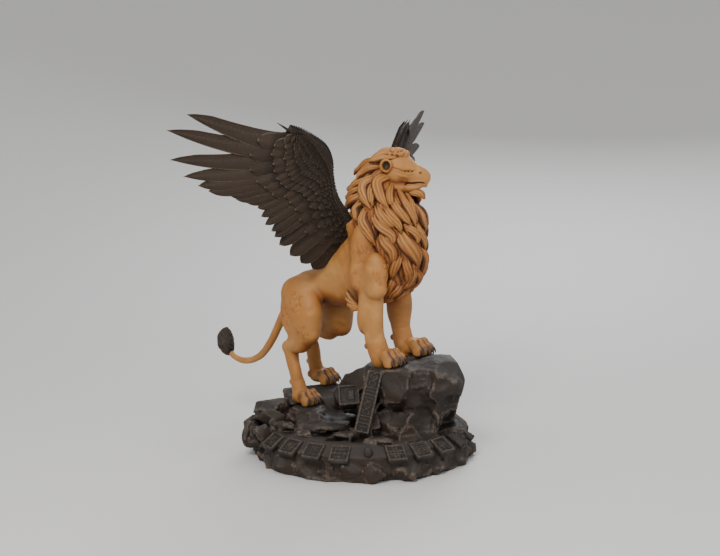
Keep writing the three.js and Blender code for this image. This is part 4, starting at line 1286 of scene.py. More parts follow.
def spikes():
    """The stiff pointed feathers that stand off the wing's front edge at the wrist."""
    paths, sizes = [], []
    for start, middle, end, half in SPIKES:
        for face in (-1, 1):
            paths.append(spline([sheet_point(*start, 3.2 * face), sheet_point(*middle, 3.0 * face),
                                 sheet_point(*end, 0.8 * face)], 16))
            sizes.append(half)
    paths = np.array(paths)
    run = np.linspace(0, 1, 16)[None]
    half = np.array(sizes)[:, None] * (0.7 + 0.3 * ramp(run, 0, 0.2)) * (1 - run ** 2.2) + 0.1
    outward = np.tile([[-0.9, 0.4, 0.1], [0.9, -0.4, 0.1]], (len(SPIKES), 1))[:, None]
    points, faces, layers = locks(paths, outward, half, half * 0.45 + 0.2, 2.0,
                                  np.arange(len(sizes)), 12)
    layers["tone"] = 0.4
    return points, faces, layers


def wing_parts():
    """The right wing: its core, the feathers of both faces, the scales and the spikes."""
    return [wing_core(), *wing_side(-1), *wing_side(1), *scale_rows(), spikes()]


def mirrored(part):
    """The same part on the griffin's other side, with its faces turned back to face out."""
    points, faces, layers = part
    return points * np.array([1, -1, 1]), [f[:, ::-1] for f in faces], layers


# The plinth

PLINTH_RADIUS = 97.5
RIM_HEIGHT = 17.0
TERRACE_RADIUS = 80.0
TERRACE_HEIGHT = 29.0
BAND_RADIUS = 99  # where the sloping band, run on outward, falls to the rim's height
RIM_STONES = 14
RIM_INNER_RADIUS = 76
ROCK_CELL = 1.25
STONES = [
    # place, half sizes, turn, tip, seed, how many corners
    ((-56, 8, 33), (33, 30, 14.5), 30, 0, 11, 14), ((-64, -42, 31), (17, 23, 14), 30, 0, 17, 12),
    ((-36, -26, 29), (25, 26, 9.5), 25, 0, 13, 14), ((-8, -42, 26), (26, 22, 8), 15, 3, 19, 12),
    ((-42, -66, 30), (11, 10, 7), 30, 0, 23, 10), ((-41, -82, 25), (9, 8, 9), 20, 8, 37, 10),
    ((-61, -70, 20), (11, 12, 13), 50, 0, 41, 10), ((14, -60, 31), (6, 5, 6), 40, 10, 43, 8),
    ((46, -50, 29), (15, 6, 3.4), 36, 0, 47, 8),
    ((50, -35, 30), (11, 7, 7), 20, 0, 53, 10), ((74, -14, 30), (10, 8, 7), 50, 0, 57, 9),
]
# corners of the four blocks that make up the crag
CRAG = [
    [(24, -32, 81), (46, -37, 82), (63, -33, 84), (76, -27, 78), (90, -17, 82), (96, -6, 76),
     (92, 16, 72), (84, 16, 85), (70, 14, 89), (58, 44, 84), (14, 34, 82), (6, 0, 80),
     (39, -34, 46), (63, -30, 61), (66, -19, 46), (94, 8, 64), (84, 18, 48), (60, 50, 46),
     (10, 36, 44)],
    [(38, -31, 28), (60, -28, 28), (78, -12, 28), (80, 8, 36), (64, -27, 50), (40, -30, 50),
     (84, 18, 49), (62, 48, 28), (60, 46, 50), (12, 44, 28), (8, 36, 52), (2, 4, 28),
     (20, -20, 52)],
    [(-14, -24, 53), (0, -22, 73), (20, -29, 80), (28, -34, 70), (26, -38, 50), (8, -37, 42),
     (2, -30, 30), (-16, -18, 36), (24, 8, 80), (-6, 8, 62), (-6, 4, 28), (26, 0, 28)],
    [(12, -38, 30), (28, -48, 28), (42, -47, 30), (52, -30, 34), (44, -28, 28), (14, -32, 50),
     (30, -38, 60), (44, -30, 44), (20, -20, 28), (30, -24, 66)],
]
FRAGMENTS = [
    # slabs and squared pieces that keep their edges unchipped, given as the stones are
    ((5, -50, 32), (17, 10, 3.6), 58, 2, 91, 12), ((-4, -62, 31.5), (13, 6.5, 3.8), 18, 0, 92, 11),
    ((23, -57, 30.6), (11, 6.5, 2.6), 48, 0, 93, 10),
    ((54, -53, 30.4), (13, 5.5, 2.6), 24, 0, 94, 11),
    ((-3, -74, 30.2), (8, 4.5, 4.4), 20, 3, 95, 7), ((-50, -60, 33), (12, 8, 7.5), 25, 5, 96, 10),
    ((-29, -68, 31), (10, 6, 5), 10, 0, 97, 9), ((83, 17, 27), (9, 3.4, 3), 60, 0, 85, 8),
    ((-48, -80, 26), (7, 6, 6.5), 40, 5, 86, 8), ((-72, -58, 24), (9, 8, 8), 55, 8, 87, 9),
]


def stone_corners(centre, sizes, turn, tip, seed, count):
    """Corners of a broken stone: points spread evenly over a ball, pushed out towards a box,
    scattered in and out, then tipped about the cross axis and turned about the upright."""
    i = np.arange(count)
    level = 1 - 2 * (i + 0.5) / count
    around = np.pi * (3 - math.sqrt(5)) * i + seed
    flat = np.sqrt(1 - level ** 2)
    corner = np.stack([flat * np.cos(around), flat * np.sin(around), level], axis=1)
    square = np.abs(corner).max(axis=1, keepdims=True)
    corner = corner * (0.2 + 0.8 / square) * (0.88 + 0.16 * scatter(seed * 17 + i))[:, None]
    x, y, z = (corner * np.array(sizes)).T
    x, z = turned(x, z, -tip)
    return np.stack([*turned(x, y, turn), z], axis=1) + np.array(centre)


def rim_corners(block, upper):
    """Corners of one broken block of the rim: a wedge with a bulging outer face. The lower ones
    stand on the ground, the upper ones lie on them half a block round."""
    step = 360 / RIM_STONES
    n = block * 9 + 500 * upper
    middle = step * (block + 0.5 * upper + 0.34 * (scatter(n, 1) - 0.5))
    foot, top = (6.5, 15.8) if upper else (-1, 12.5)
    draw_in = 2.2 * scatter(n, 9) + 1.6 * upper
    rows = []
    for share in (-0.5, -0.2, 0.22, 0.5):
        angle = middle + share * step * (0.92 + 0.2 * scatter(n, 8))
        n += 1
        corner_cut = 5.0 * (abs(share) > 0.4)
        for z, cut in ((foot, 0.4 + 3 * scatter(n, 2)),
                       (foot + 6 * scatter(n, 3), 2 * scatter(n, 4)),
                       (top + 2 * scatter(n, 5), 2.5 + 3 * scatter(n, 6))):
            r = PLINTH_RADIUS - 3.5 - cut - corner_cut - draw_in
            rows.append((*round_at(r, angle), z))
        rows.append((*round_at(RIM_INNER_RADIUS, angle), top + 5))
        rows.append((*round_at(RIM_INNER_RADIUS, angle), foot))
    return np.array(rows)


def rim_wedge(n):
    """Corners of one of the few-sided stones, tipped in or out, that jut from the rim's face."""
    turn = (n + 0.6 * scatter(n, 11)) * 180 / RIM_STONES
    out = PLINTH_RADIUS - 11 + 3 * scatter(n, 12)
    centre = (*round_at(out, turn), 4 + 6 * scatter(n, 13))
    sizes = (8.2, 9 + 5 * scatter(n, 14), 8 + 2.5 * scatter(n, 15))
    return stone_corners(centre, sizes, turn, 70 * (scatter(n, 16) - 0.5), 200 + n, 8)


def plinth_core(x, y, z):
    """The disc under everything: a drum to the rim's height, then a cone up to the terrace."""
    r = np.sqrt(x ** 2 + y ** 2)
    fall = math.atan2(TERRACE_HEIGHT - RIM_HEIGHT, PLINTH_RADIUS - 2 - TERRACE_RADIUS)
    cone = (r - TERRACE_RADIUS) * math.sin(fall) + (z - TERRACE_HEIGHT) * math.cos(fall)
    drum = np.maximum(r - PLINTH_RADIUS + 9.5 - 0.12 * z, z - TERRACE_HEIGHT)
    return np.maximum(drum, cone)


def ball_cut(place, normal, radius, depth, width):
    """A shallow scoop: the part, within width of a place on the surface, of a ball that stands
    outside the rock and bites into it by depth."""
    middle = place + normal * (radius - depth)

    def distance(x, y, z):
        return np.maximum(*(np.sqrt((x - c[0]) ** 2 + (y - c[1]) ** 2 + (z - c[2]) ** 2) - reach
                            for c, reach in ((middle, radius), (place, width))))

    return distance, place - width, place + width


def chip(field, low, high, spacing, bite, most, tilt, salt):
    """Strikes flakes off the rock between two corners of space: scattered places, drawn on to
    the surface, are each scooped by a large ball, so that neighbours meet in sharp ridges. tilt
    leans the scoops away from straight in. The surface goes back by most at the most."""
    before = field.value.copy()
    count = np.ceil((np.array(high) - np.array(low)) / spacing).astype(int)
    cells = np.argwhere(np.ones(count, bool))
    n = np.arange(len(cells))
    jitter = np.stack([scatter(n, salt + i) for i in range(3)], axis=1)
    places = np.array(low) + spacing * (cells + jitter)
    near = np.abs(field.sample(places)) < 6
    places, n = places[near], n[near]
    for _ in range(6):
        places = places - field.slope(places) * np.clip(field.sample(places), -3, 3)[:, None]
    normals = field.slope(places)
    lean = np.stack([scatter(n, salt + 3 + i) for i in range(3)], axis=1) - 0.5
    normals = unit(normals + tilt * lean)
    good = (np.abs(field.sample(places)) < 0.8) & (places[:, 2] > 0.5) & off_band(*places.T)
    radii = spacing * (1.0 + 1.8 * scatter(n, salt + 6) ** 2)
    depths = bite * (0.2 + 0.8 * scatter(n, salt + 7))
    for place, normal, radius, depth in zip(places[good], normals[good], radii[good],
                                            depths[good]):
        field.carve(ball_cut(place, normal, radius, depth, spacing * 1.05), 0.4)
    field.value = np.minimum(field.value, before + most)


SEAT_DEPTH = 9


def clear_of_paws(x, y, z):
    """Whether places are clear of the flat seats that the paws stand on."""
    clear = np.ones(x.shape, bool)
    for (heel_x, heel_y, heel_z), size, _ in PAWS:
        apart = np.hypot(x - heel_x - 0.2 * size, y - heel_y)
        clear &= (apart > 0.8 * size) | (np.abs(z - heel_z) > SEAT_DEPTH)
    return clear


def off_band(x, y, z):
    """Whether places are off the even slope that carries the carved tiles."""
    angle = np.degrees(np.arctan2(y, x))
    band = (np.hypot(x, y) > 79) & (z > 14.5) & (angle > -118) & (angle < 28)
    return clear_of_paws(x, y, z) & ~band


RUBBLE_SEEDS = range(60, 80)
MOST_STRUCK = 4.5
KNOB = (77.5, -26, 77)
CHIPPED = [
    # low and high corner, spacing, bite, most, tilt, salt: the rim, the back and the crag
    ((-99, -99, 0), (99, 99, 19), 14, 2.2, 2.4, 0.7, 100),
    ((-99, -99, 19), (0, 99, 62), 13, 1.8, 2.0, 0.5, 120),
    ((0, -60, 26), (99, 60, 92), 14, 3.6, 4.6, 1.1, 140),
]
STRUCK = [
    # place, outward direction, ball radius, depth, width: flakes that shape the crag's flanks
    ((60, -31, 70), (0.35, -0.92, 0.18), 60, 2.2, 17),
    ((68, -24, 57), (0.5, -0.75, -0.45), 16, 4.2, 12),
    ((77, -22, 75), (0.7, -0.6, 0.1), 10, 4.5, 9.5), ((88, -12, 73), (0.6, -0.75, 0.1), 12, 5, 11),
    ((85, 2, 85), (0.62, -0.15, 0.77), 46, 4.6, 17), ((93, 12, 76), (0.9, 0.2, 0.4), 26, 3.2, 13),
    ((82, 6, 52), (0.7, -0.4, -0.55), 18, 4, 12), ((71, -12, 42), (0.85, -0.45, 0.2), 20, 3, 12),
    ((62, -20, 50), (0.3, -0.9, -0.2), 22, 3.5, 11), ((72, -24, 66), (0.5, -0.8, -0.3), 12, 3, 8),
    ((52, -20, 41), (-0.1, -0.98, 0.1), 20, 2.5, 10), ((78, 10, 34), (0.8, -0.2, -0.4), 20, 3, 10),
    ((70, -30, 82), (0.4, -0.5, 0.75), 30, 2.4, 12), ((56, -34, 84), (0.1, -0.7, 0.7), 24, 1.6, 9),
]


def plinth_field():
    """The whole rock: the disc, its rim blocks, stones and crag melted together, struck and
    chipped, then the unchipped fragments, the relief, the paws' flat seats and the flat foot."""
    field = Field((-99, -99, -1.5), (99, 99, 92), ROCK_CELL)
    field.merge((plinth_core, (-99, -99, -2), (99, 99, 30)), 0.5)
    for block in range(RIM_STONES):
        for upper in (0, 1):
            field.merge(hull_shape(rim_corners(block, upper), 0.8), 0.5)
    for n in range(2 * RIM_STONES):
        field.merge(hull_shape(rim_wedge(n), 0.5), 0.4)
    for row in STONES:
        field.merge(hull_shape(stone_corners(*row), 1.0), 0.6)
    for seed in RUBBLE_SEEDS:
        turn = 2 * math.pi * scatter(seed, 1)
        reach = 50 + 28 * scatter(seed, 2)
        x, y = reach * math.cos(turn), reach * math.sin(turn)
        if y < -20 and x > -20 or x > 30 and y < 30:
            continue
        size = 5 + 7 * scatter(seed, 3)
        field.merge(hull_shape(stone_corners((x, y, 28), (size, size * 0.8, size * 0.7),
                                             360 * scatter(seed, 4), 12, seed, 10), 0.6), 0.5)
    for corners in CRAG:
        field.merge(hull_shape(corners, 0.8), 0.6)
    before = field.value.copy()
    for place, out, radius, depth, width in STRUCK:
        cut = ball_cut(np.array(place, float), unit(np.array(out)), radius, depth, width)
        field.carve(cut, 0.6)
    field.value = np.minimum(field.value, before + MOST_STRUCK)
    field.merge(ellipsoid(KNOB, (2.6, 2.4, 2.6)), 1.0)
    for row in CHIPPED:
        chip(field, *row)
    for row in FRAGMENTS:
        field.merge(hull_shape(stone_corners(*row), 0.5), 0.4)
    mask, points = field.near(4.0)
    x, y, z = points.T
    rough = np.where(off_band(x, y, z), 1.0, 0.2)
    relief = 0.3 * facets(points, 5, 47) + 0.25 * layered(points, 7, 2, 60)
    field.value[mask] += (relief * rough).astype(np.float32)
    for (hx, hy, hz), size, _ in PAWS:
        k = size / PAW_GRID
        cuts, (gx, gy, gz) = field.window((hx - 17, hy - 20, hz - 3), (hx + 26, hy + 20, hz + 20))
        room = np.maximum(np.hypot(gx - hx - 6 * k, gy - hy) - 18 * k, hz - 0.2 - gz)
        field.value[cuts] = -soft_min(-field.value[cuts], room, 1.2)
    x, y, z = np.meshgrid(*field.axes, indexing="ij", sparse=True)
    field.value[...] = np.maximum(field.value, -z)
    return field


def rock_part():
    """The rock's surface with its grain and cracks, painted shade in its hollows and cracks, its
    edges lit and its upward faces dusty.
    """
    field = plinth_field()
    points, quads, normals = surface_of(field, 1)
    rough = np.where(points[:, 2] < 0.3, 0, 1)
    grain = layered(points, 3.2, 3, 70)
    crack = np.abs(layered(points * np.array([1, 1, 0.7]), 34, 2, 80))
    crack = ramp(crack, 0.03, 0.0) * ramp(noise(points, 26, 90), 0.0, 0.4)
    points = points + normals * ((0.16 * grain - 0.5 * crack) * rough)[:, None]
    # Painted shade in the hollows, and deeper in the cracks.
    open_air = openness(field, points, normals, 7) * (1 - 0.6 * crack)
    edge = np.clip(field.sample(points - normals * 2.0) / -2.0, 0, 1)
    edge = ramp(edge, 0.9, 0.62)
    dust = ramp(normals[:, 2], 0.15, 0.85)
    return points, [quads], {"open": open_air, "light": edge, "dust": dust,
                             "tone": tone(points, 40)}


def ridge(distance, wide):
    """A rounded ridge along the places where distance is 0."""
    return ramp(-np.abs(distance), -wide, -wide * 0.35)


def frame_of(u, v, wide):
    """A raised border round the edge of the square from -1 to 1."""
    return ramp(np.maximum(np.abs(u), np.abs(v)), 1 - wide * 1.25, 1 - wide * 0.9)


def motif(kind, u, v):
    """Heights from 0 to 1 of a plain carved pattern, drawn with ridges along where a formula of
    the place is 0; the curls are what is left when no other name fits."""
    r, a = np.hypot(u, v), np.arctan2(v, u)
    if kind == "fret":
        turn = np.maximum(np.abs(u), np.abs(v)) * 3.2 + a / (2 * np.pi)
        return ridge(turn - np.round(turn), 0.3)
    if kind == "bands":
        bands = np.maximum(ridge(np.abs(u) - 0.24, 0.13), ridge(np.abs(v) - 0.24, 0.13))
        return np.maximum(bands, ridge(r - 0.62, 0.1))
    if kind == "ring":
        return np.maximum.reduce([ridge(np.abs(u) + np.abs(v) - 0.66, 0.12), ridge(r - 0.26, 0.13),
                                  ridge(u - v, 0.08) * (r > 0.45), ridge(u + v, 0.08) * (r > 0.45)])
    if kind == "squares":
        return np.maximum(ridge(u, 0.13), ridge(v, 0.13)) * 0.9 \
            + ridge(np.maximum(np.abs(u), np.abs(v)) - 0.62, 0.1)
    if kind == "block":
        return 0.7 * ramp(np.maximum(np.abs(u - 0.25), np.abs(v) * 0.6), 0.42, 0.3)
    curl = np.sin(3 * a + 5.2 * r)
    return ridge(curl, 0.5) * ramp(r, 0.92, 0.75) * ramp(r, 0.08, 0.2)


def slab(centre, width, height, deep, facing, lean, roll, relief, cells):
    """A carved slab. Its front is a grid of heights in millimetres over u and v from -1 to 1, and
    its back is flat, so that each row across is one closed loop. It faces the compass direction
    facing, leans back from upright by lean and is rolled in its own plane."""
    rows = max(int(cells * height / max(width, height)), 8)
    columns = max(int(cells * width / max(width, height)), 8)
    v = np.linspace(-1, 1, rows)[:, None]
    u = np.linspace(-1, 1, columns)[None]
    high, light = relief(u + 0 * v, v + 0 * u)
    x, y = u * width / 2 + 0 * v, v * height / 2 + 0 * u
    front = np.stack([x, y, high + 0 * x], axis=-1)
    back = np.stack([x[:, [-1, 0]], y[:, [-1, 0]], -deep + 0 * x[:, [-1, 0]]], axis=-1)
    rings = np.concatenate([front, back], axis=1)[None]
    x, y, z = np.moveaxis(rings, -1, 0)
    x, y = turned(x, y, roll)
    y, z = turned(y, z, 90 - lean)
    x, y = turned(x, y, facing + 90)
    points, faces = closed_tubes(np.stack([x, y, z], axis=-1) + np.array(centre))
    crest = tube_layer(np.concatenate([light, 0 * light[:, :2]], axis=1)[None])
    worn = noise(points, 1.5, 95)
    # Painted shade on the low parts of each carving; the raised crests take the dry brush.
    return points, faces, {"open": 0.5 + 0.5 * crest, "light": crest * (0.75 + 0.25 * worn),
                           "dust": 0.7, "tone": tone(points, 40)}


def wear_at(u, v, size, salt):
    """Worn patches over a carving: layered noise on its own two measures."""
    return layered(np.stack([u, v, 0 * u], axis=-1).reshape(-1, 3), size, 3, salt).reshape(u.shape)


def tile_relief(kind, raise_mm, seed):
    """Heights of one carved tile: a worn border round a sunk field with its motif."""
    inside = 1 - TILE_RIM * 1.2

    def relief(u, v):
        border = frame_of(u, v, TILE_RIM)
        wear = wear_at(u * 4 + seed * 7, v * 4, 1.6, 96)
        inner = motif(kind, u / inside, v / inside) * (1 - border)
        drop = ramp(np.maximum(np.abs(u), np.abs(v)), 0.93, 1.0)
        crest = np.clip(border + 0.8 * inner, 0, 1)
        high = raise_mm * (0.25 + 0.75 * crest) + 0.22 * wear - 0.8 * drop
        high = high - 0.7 * ramp(wear, 0.55, 0.9) * crest
        return high, np.clip(crest - 0.4 * drop, 0, 1)

    return relief


def panel_relief(u, v):
    """Heights of the tall panel: a border, braided bands and cross bars between them."""
    border = np.maximum(ramp(np.abs(u), 0.66, 0.74), ramp(np.abs(v), 0.945, 0.96))
    wave = 0.42 * np.sin(v * 13.5)
    braid = np.maximum(ridge(u - wave, 0.13), ridge(u + wave, 0.13))
    knots = np.where(np.abs(np.sin(v * 3.4 + 0.6)) > 0.72, ridge(np.sin(v * 27), 0.42), braid)
    wear = wear_at(u * 2, v * 9, 1.4, 97)
    crest = np.clip(border + 0.85 * knots * (1 - border), 0, 1)
    drop = np.maximum(ramp(np.abs(u), 0.93, 1.0), ramp(np.abs(v), 0.985, 1.0))
    return 0.4 + 1.1 * crest + 0.18 * wear - 0.9 * drop, np.clip(crest - 0.3 * drop, 0, 1)


def stroke_relief(u, v):
    """Heights of a narrow broken tile with slanting strokes."""
    strokes = ridge(np.sin(7 * u + 2.2 * v), 0.45)
    drop = ramp(np.maximum(np.abs(u), np.abs(v)), 0.8, 1.0)
    return 0.5 + 0.7 * strokes - 1.0 * drop, np.clip(strokes - drop, 0, 1)


CRAG_FACING = -53.0
TILE_START = -8.0
TILE_SPACING = 14.2
TILE_SIZE = 15.5
TILE_DEPTH = 3
TILE_RIM = 0.17
# motif of each tile, by how many spacings it stands on from TILE_START
TILES = {-7: "curls", -6: "ring", -5: "curls", -4: "squares", -2: "bands", -1: "fret", 0: "ring"}
# the pebble and the narrow stroked tiles, counted in the same way
PEBBLE_PLACE = -3
STROKED_PLACES = (1, 2)
STROKED_WIDTH = TILE_SIZE * 0.55
# place, width, height and depth
FRAMED_TILE = ((14.5, -38.2, 57.5), 17, 17.5, 7)
TALL_PANEL = ((39, -45, 57.5), 12, 50, 6)
PEBBLE_HALF_WIDTH, PEBBLE_HALF_HEIGHT, PEBBLE_LIFT = 3.4, 4.6, 2.4


def band_place(angle, out=0.0):
    """The middle of the sloping band at an angle round the plinth, and how far it leans."""
    radius = (BAND_RADIUS + TERRACE_RADIUS) / 2 - 0.5
    level = (RIM_HEIGHT + TERRACE_HEIGHT) / 2
    fall = math.degrees(math.atan2(TERRACE_HEIGHT - RIM_HEIGHT, BAND_RADIUS - TERRACE_RADIUS))
    return (*round_at(radius, angle), level + out), 90 - fall


def carving_parts():
    """The tiles on the band, whole and narrow, the framed tile and the tall panel."""
    rows = [(step, TILE_SIZE, tile_relief(kind, 1.9, step + 9), 52)
            for step, kind in TILES.items()]
    rows += [(step, STROKED_WIDTH, stroke_relief, 30) for step in STROKED_PLACES]
    parts = []
    for step, width, relief, cells in rows:
        angle = TILE_START + step * TILE_SPACING
        centre, lean = band_place(angle)
        parts.append(slab(centre, width, TILE_SIZE, TILE_DEPTH, angle, lean, 0, relief, cells))
    framed = tile_relief("block", 2.8, 3)
    return [*parts, slab(*FRAMED_TILE, CRAG_FACING, 38, 5, framed, 52),
            slab(*TALL_PANEL, CRAG_FACING, 8, -13, panel_relief, 130)]


def pebble_part():
    """The one smooth pebble, in the gap between the tiles: an egg of rings from end to end."""
    (x, y, z), _ = band_place(TILE_START + PEBBLE_PLACE * TILE_SPACING, PEBBLE_LIFT)
    level = np.linspace(-0.98, 0.98, 14)[:, None]
    angle = ring_angles(20)[None]
    flat = PEBBLE_HALF_WIDTH * np.sqrt(1 - level ** 2)
    rings = np.stack([x + flat * np.cos(angle), y + flat * np.sin(angle),
                      z + PEBBLE_HALF_HEIGHT * level + 0 * angle], axis=-1)[None]
    return *closed_tubes(rings), {"open": 0.8, "light": 0.35, "dust": 0.6, "tone": 0.4}


# Materials

class Nodes:
    """Short names for the few kinds of shader node that the materials use."""

    def __init__(self, name):
        self.material = bpy.data.materials.new(name)
        self.material.use_nodes = True
        self.tree = self.material.node_tree
        self.tree.nodes.clear()
        output = self.tree.nodes.new("ShaderNodeOutputMaterial")
        self.shader = self.tree.nodes.new("ShaderNodeBsdfPrincipled")
        self.tree.links.new(self.shader.outputs[0], output.inputs["Surface"])

    def feed(self, node, inputs):
        """Sets each input of a node to a number or colour, or joins it to another node."""
        for key, value in inputs.items():
            if isinstance(value, bpy.types.NodeSocket):
                self.tree.links.new(value, node.inputs[key])
            else:
                node.inputs[key].default_value = value

    def add(self, kind, inputs, output=0, **settings):
        """A new node, from its settings and inputs to its output."""
        node = self.tree.nodes.new("ShaderNode" + kind)
        for name, value in settings.items():
            setattr(node, name, value)
        self.feed(node, inputs)
        return node.outputs[output]

    def layer(self, name):
        """One of the mesh's own numbers per point."""
        return self.add("Attribute", {}, "Fac", attribute_name=name)

    def math(self, operation, a, b=0.0, clamp=False):
        """A sum, product or sine."""
        return self.add("Math", {0: a, 1: b}, operation=operation, use_clamp=clamp)

    def times(self, a, b):
        """One value times another."""
        return self.math("MULTIPLY", a, b)

    def plus(self, a, b):
        """One value plus another."""
        return self.math("ADD", a, b)

    def waves(self, turns):
        """A wave from -1 to 1 that repeats with each whole turn."""
        return self.math("SINE", self.times(turns, 2 * math.pi))

    def mix(self, share, a, b):
        """Colour a at share 0, b at share 1."""
        return self.add("Mix", {"Factor": share, 6: a, 7: b}, 2, data_type="RGBA")

    def range(self, value, low, high, start=0.0, end=1.0):
        """A smooth step from start at low to end at high."""
        return self.add("MapRange", {0: value, 1: low, 2: high, 3: start, 4: end},
                        interpolation_type="SMOOTHSTEP")

    def wash(self, base, value, low, high, most, colour):
        """Lays a colour over base, from none where value is low to most of it where it is high."""
        return self.mix(self.times(self.range(value, low, high), most), base, colour)

    def noise(self, scale, detail, rough=0.55):
        """Noise on Object coordinates, in waves to a metre."""
        place = self.add("TexCoord", {}, "Object")
        return self.add("TexNoise", {"Vector": place, "Scale": scale, "Detail": detail,
                                     "Roughness": rough}, "Fac")

    def finish(self, colour, roughness, height, distance, specular):
        """Joins the colour, roughness and bump height, in metres of relief, to the shader."""
        bump = self.add("Bump", {"Strength": 1.0, "Distance": distance, "Height": height})
        self.feed(self.shader, {"Normal": bump, "Base Color": colour, "Roughness": roughness,
                                "Specular IOR Level": specular})
        return self.material


def linear(colour, share=1.0):
    """A colour property as the four numbers of a shader socket, made darker or lighter."""
    return (colour[0] * share, colour[1] * share, colour[2] * share, 1.0)


def hide_paint(colours):
    """Tawny airbrushed paint: painted shade in deeper orange-brown in the creases and grooves, a
    painted highlight on the crests, and dark brown paint where the layer says, which also paints
    shade into the eye's slit, the mouth, the nostril and between the toes."""
    n = Nodes("tawny_paint")
    open_air, light = n.layer("open"), n.layer("light")
    drift, fine = n.noise(26, 3), n.noise(420, 4)
    # The colour of painted shade, also used for the fine random speckle.
    wash = linear(colours.hide_shade_and_speckle)
    base = n.mix(n.range(drift, 0.35, 0.65), linear(colours.hide, 0.93), linear(colours.hide, 1.07))
    base = n.mix(n.range(n.layer("tone"), 0.2, 0.8), base, linear(colours.hide_warm))
    # Painted shade: deeper orange-brown where the surface is less open, near black in the deepest
    # creases.
    base = n.wash(base, open_air, 0.99, 0.42, 0.92, wash)
    base = n.wash(base, open_air, 0.46, 0.12, 0.85, linear(colours.hide_deep_shade))
    # Painted highlight where the light layer is high, mostly on the crests of locks and curls.
    base = n.wash(base, light, 0.3, 1.0, 0.42, linear(colours.hide_light))
    # Painted shade in the cut fur marks.
    base = n.mix(n.times(n.layer("fur"), 0.5), base, wash)
    # Painted shade along the grooves between strands of hair.
    strand = n.waves(n.plus(n.layer("strand"), n.times(n.noise(60, 2), 1.6)))
    base = n.wash(base, strand, 0.0, -1.0, 0.22, wash)
    # Fine random speckle in the same colour.
    base = n.wash(base, fine, 0.6, 0.78, 0.14, wash)
    # Dark brown paint on claws, tail tuft and overspray, and painted shade in the eye's slit,
    # mouth, nostril and between the toes.
    dark = n.math("MULTIPLY", n.layer("dark"), n.range(n.noise(160, 3), 0.15, 0.5, 0.8, 1.0), True)
    paint = n.mix(n.times(light, 0.6), linear(colours.dark_paint_and_shade), linear(colours.dark_light))
    colour = n.mix(dark, base, paint)
    rough = n.range(fine, 0.3, 0.7, 0.5, 0.62)
    height = n.plus(n.times(fine, 0.6), n.times(strand, 0.45))
    return n.finish(colour, rough, height, 0.00016, 0.35)


def feather_paint(colours):
    """Near-black brown feathers: barbs as fine slanting ribs, rubbed lighter at edges and
    shafts, with painted shade where the rows overlap."""
    n = Nodes("feather_paint")
    open_air, light = n.layer("open"), n.layer("light")
    speck = n.noise(620, 4)
    rub = n.times(n.range(light, 0.2, 0.85), n.range(speck, 0.28, 0.55))
    edge = linear(colours.feather_edge)
    tint = n.mix(n.range(n.layer("tone"), 0.0, 1.0), linear(colours.feather, 0.86),
                 linear(colours.feather, 1.16))
    # Painted shade: a darker copy of the feather colour where the layer is less open.
    base = n.wash(tint, open_air, 0.8, 0.25, 0.8, linear(colours.feather, 0.42))
    colour = n.wash(n.mix(n.times(rub, 0.85), base, edge), speck, 0.6, 0.74, 0.28, edge)
    height = n.plus(n.times(n.waves(n.layer("barb")), 0.42), n.times(speck, 0.8))
    rough = n.range(speck, 0.3, 0.7, 0.6, 0.74)
    return n.finish(colour, rough, height, 0.00022, 0.3)


def stone_paint(colours):
    """Dark grey-brown stone: drifting tone, painted shade down to near black in the hollows and
    cracks, a brown dry brush that catches on the edges and the carving."""
    n = Nodes("stone_paint")
    open_air, light = n.layer("open"), n.layer("light")
    drift, grit = n.noise(34, 5), n.noise(520, 5, rough=0.62)
    edge = linear(colours.stone_edge)
    base = n.mix(n.range(drift, 0.34, 0.66), linear(colours.stone, 0.85),
                 linear(colours.stone_warm))
    base = n.mix(n.range(n.layer("tone"), 0.3, 0.9), base, linear(colours.stone, 1.1))
    base = n.mix(n.times(n.layer("dust"), 0.75), base, linear(colours.stone_dust))
    # Painted shade: a much darker copy of the stone colour in hollows and cracks.
    base = n.wash(base, open_air, 0.85, 0.2, 0.9, linear(colours.stone, 0.3))
    brush = n.times(n.range(light, 0.2, 0.95), n.range(grit, 0.36, 0.6))
    colour = n.wash(n.mix(n.times(brush, 0.6), base, edge), grit, 0.66, 0.78, 0.22, edge)
    rough = n.range(grit, 0.3, 0.7, 0.6, 0.76)
    height = n.plus(n.times(grit, 0.7), n.times(n.noise(150, 4), 0.9))
    return n.finish(colour, rough, height, 0.0004, 0.4)


# Settings, operators and panel

def colour_property(name, words, value):
    """A colour that the user can change, as linear red, green and blue."""
    return bpy.props.FloatVectorProperty(name=name, description=words, subtype="COLOR", size=3,
                                         min=0, max=1, default=value)


class GriffinSettings(bpy.types.PropertyGroup):
    """Colours of the figure"""
    hide: colour_property("Hide", "Tawny body paint", (0.44, 0.215, 0.062))
    hide_warm: colour_property("Warm hide", "Where the airbrush ran warmer", (0.40, 0.172, 0.042))
    # This colour is painted shade in shallow creases, cut fur marks and strand grooves, and the
    # fine speckle's colour.
    hide_shade_and_speckle: colour_property("Hide wash", "Wash in shallow creases", (0.22, 0.066, 0.012))
    # This colour is painted shade in the deepest creases.
    hide_deep_shade: colour_property("Deep wash", "Wash in deep creases", (0.035, 0.011, 0.004))
    # This colour is painted highlight on the crests of hair and curls.
    hide_light: colour_property("Hide crests", "Rubbed crests of hair", (0.62, 0.34, 0.115))
    # Dark paint on claws and tail tuft, also painted shade in the eye's slit, mouth, nostril and
    # between the toes.
    dark_paint_and_shade: colour_property("Dark paint", "Claws and tail tuft", (0.022, 0.016, 0.013))
    dark_light: colour_property("Dark crests", "Crests of the dark parts", (0.10, 0.075, 0.06))
    feather: colour_property("Feathers", "Wing paint", (0.037, 0.0238, 0.0155))
    feather_edge: colour_property("Feather edges", "Rubbed edges", (0.17, 0.122, 0.085))


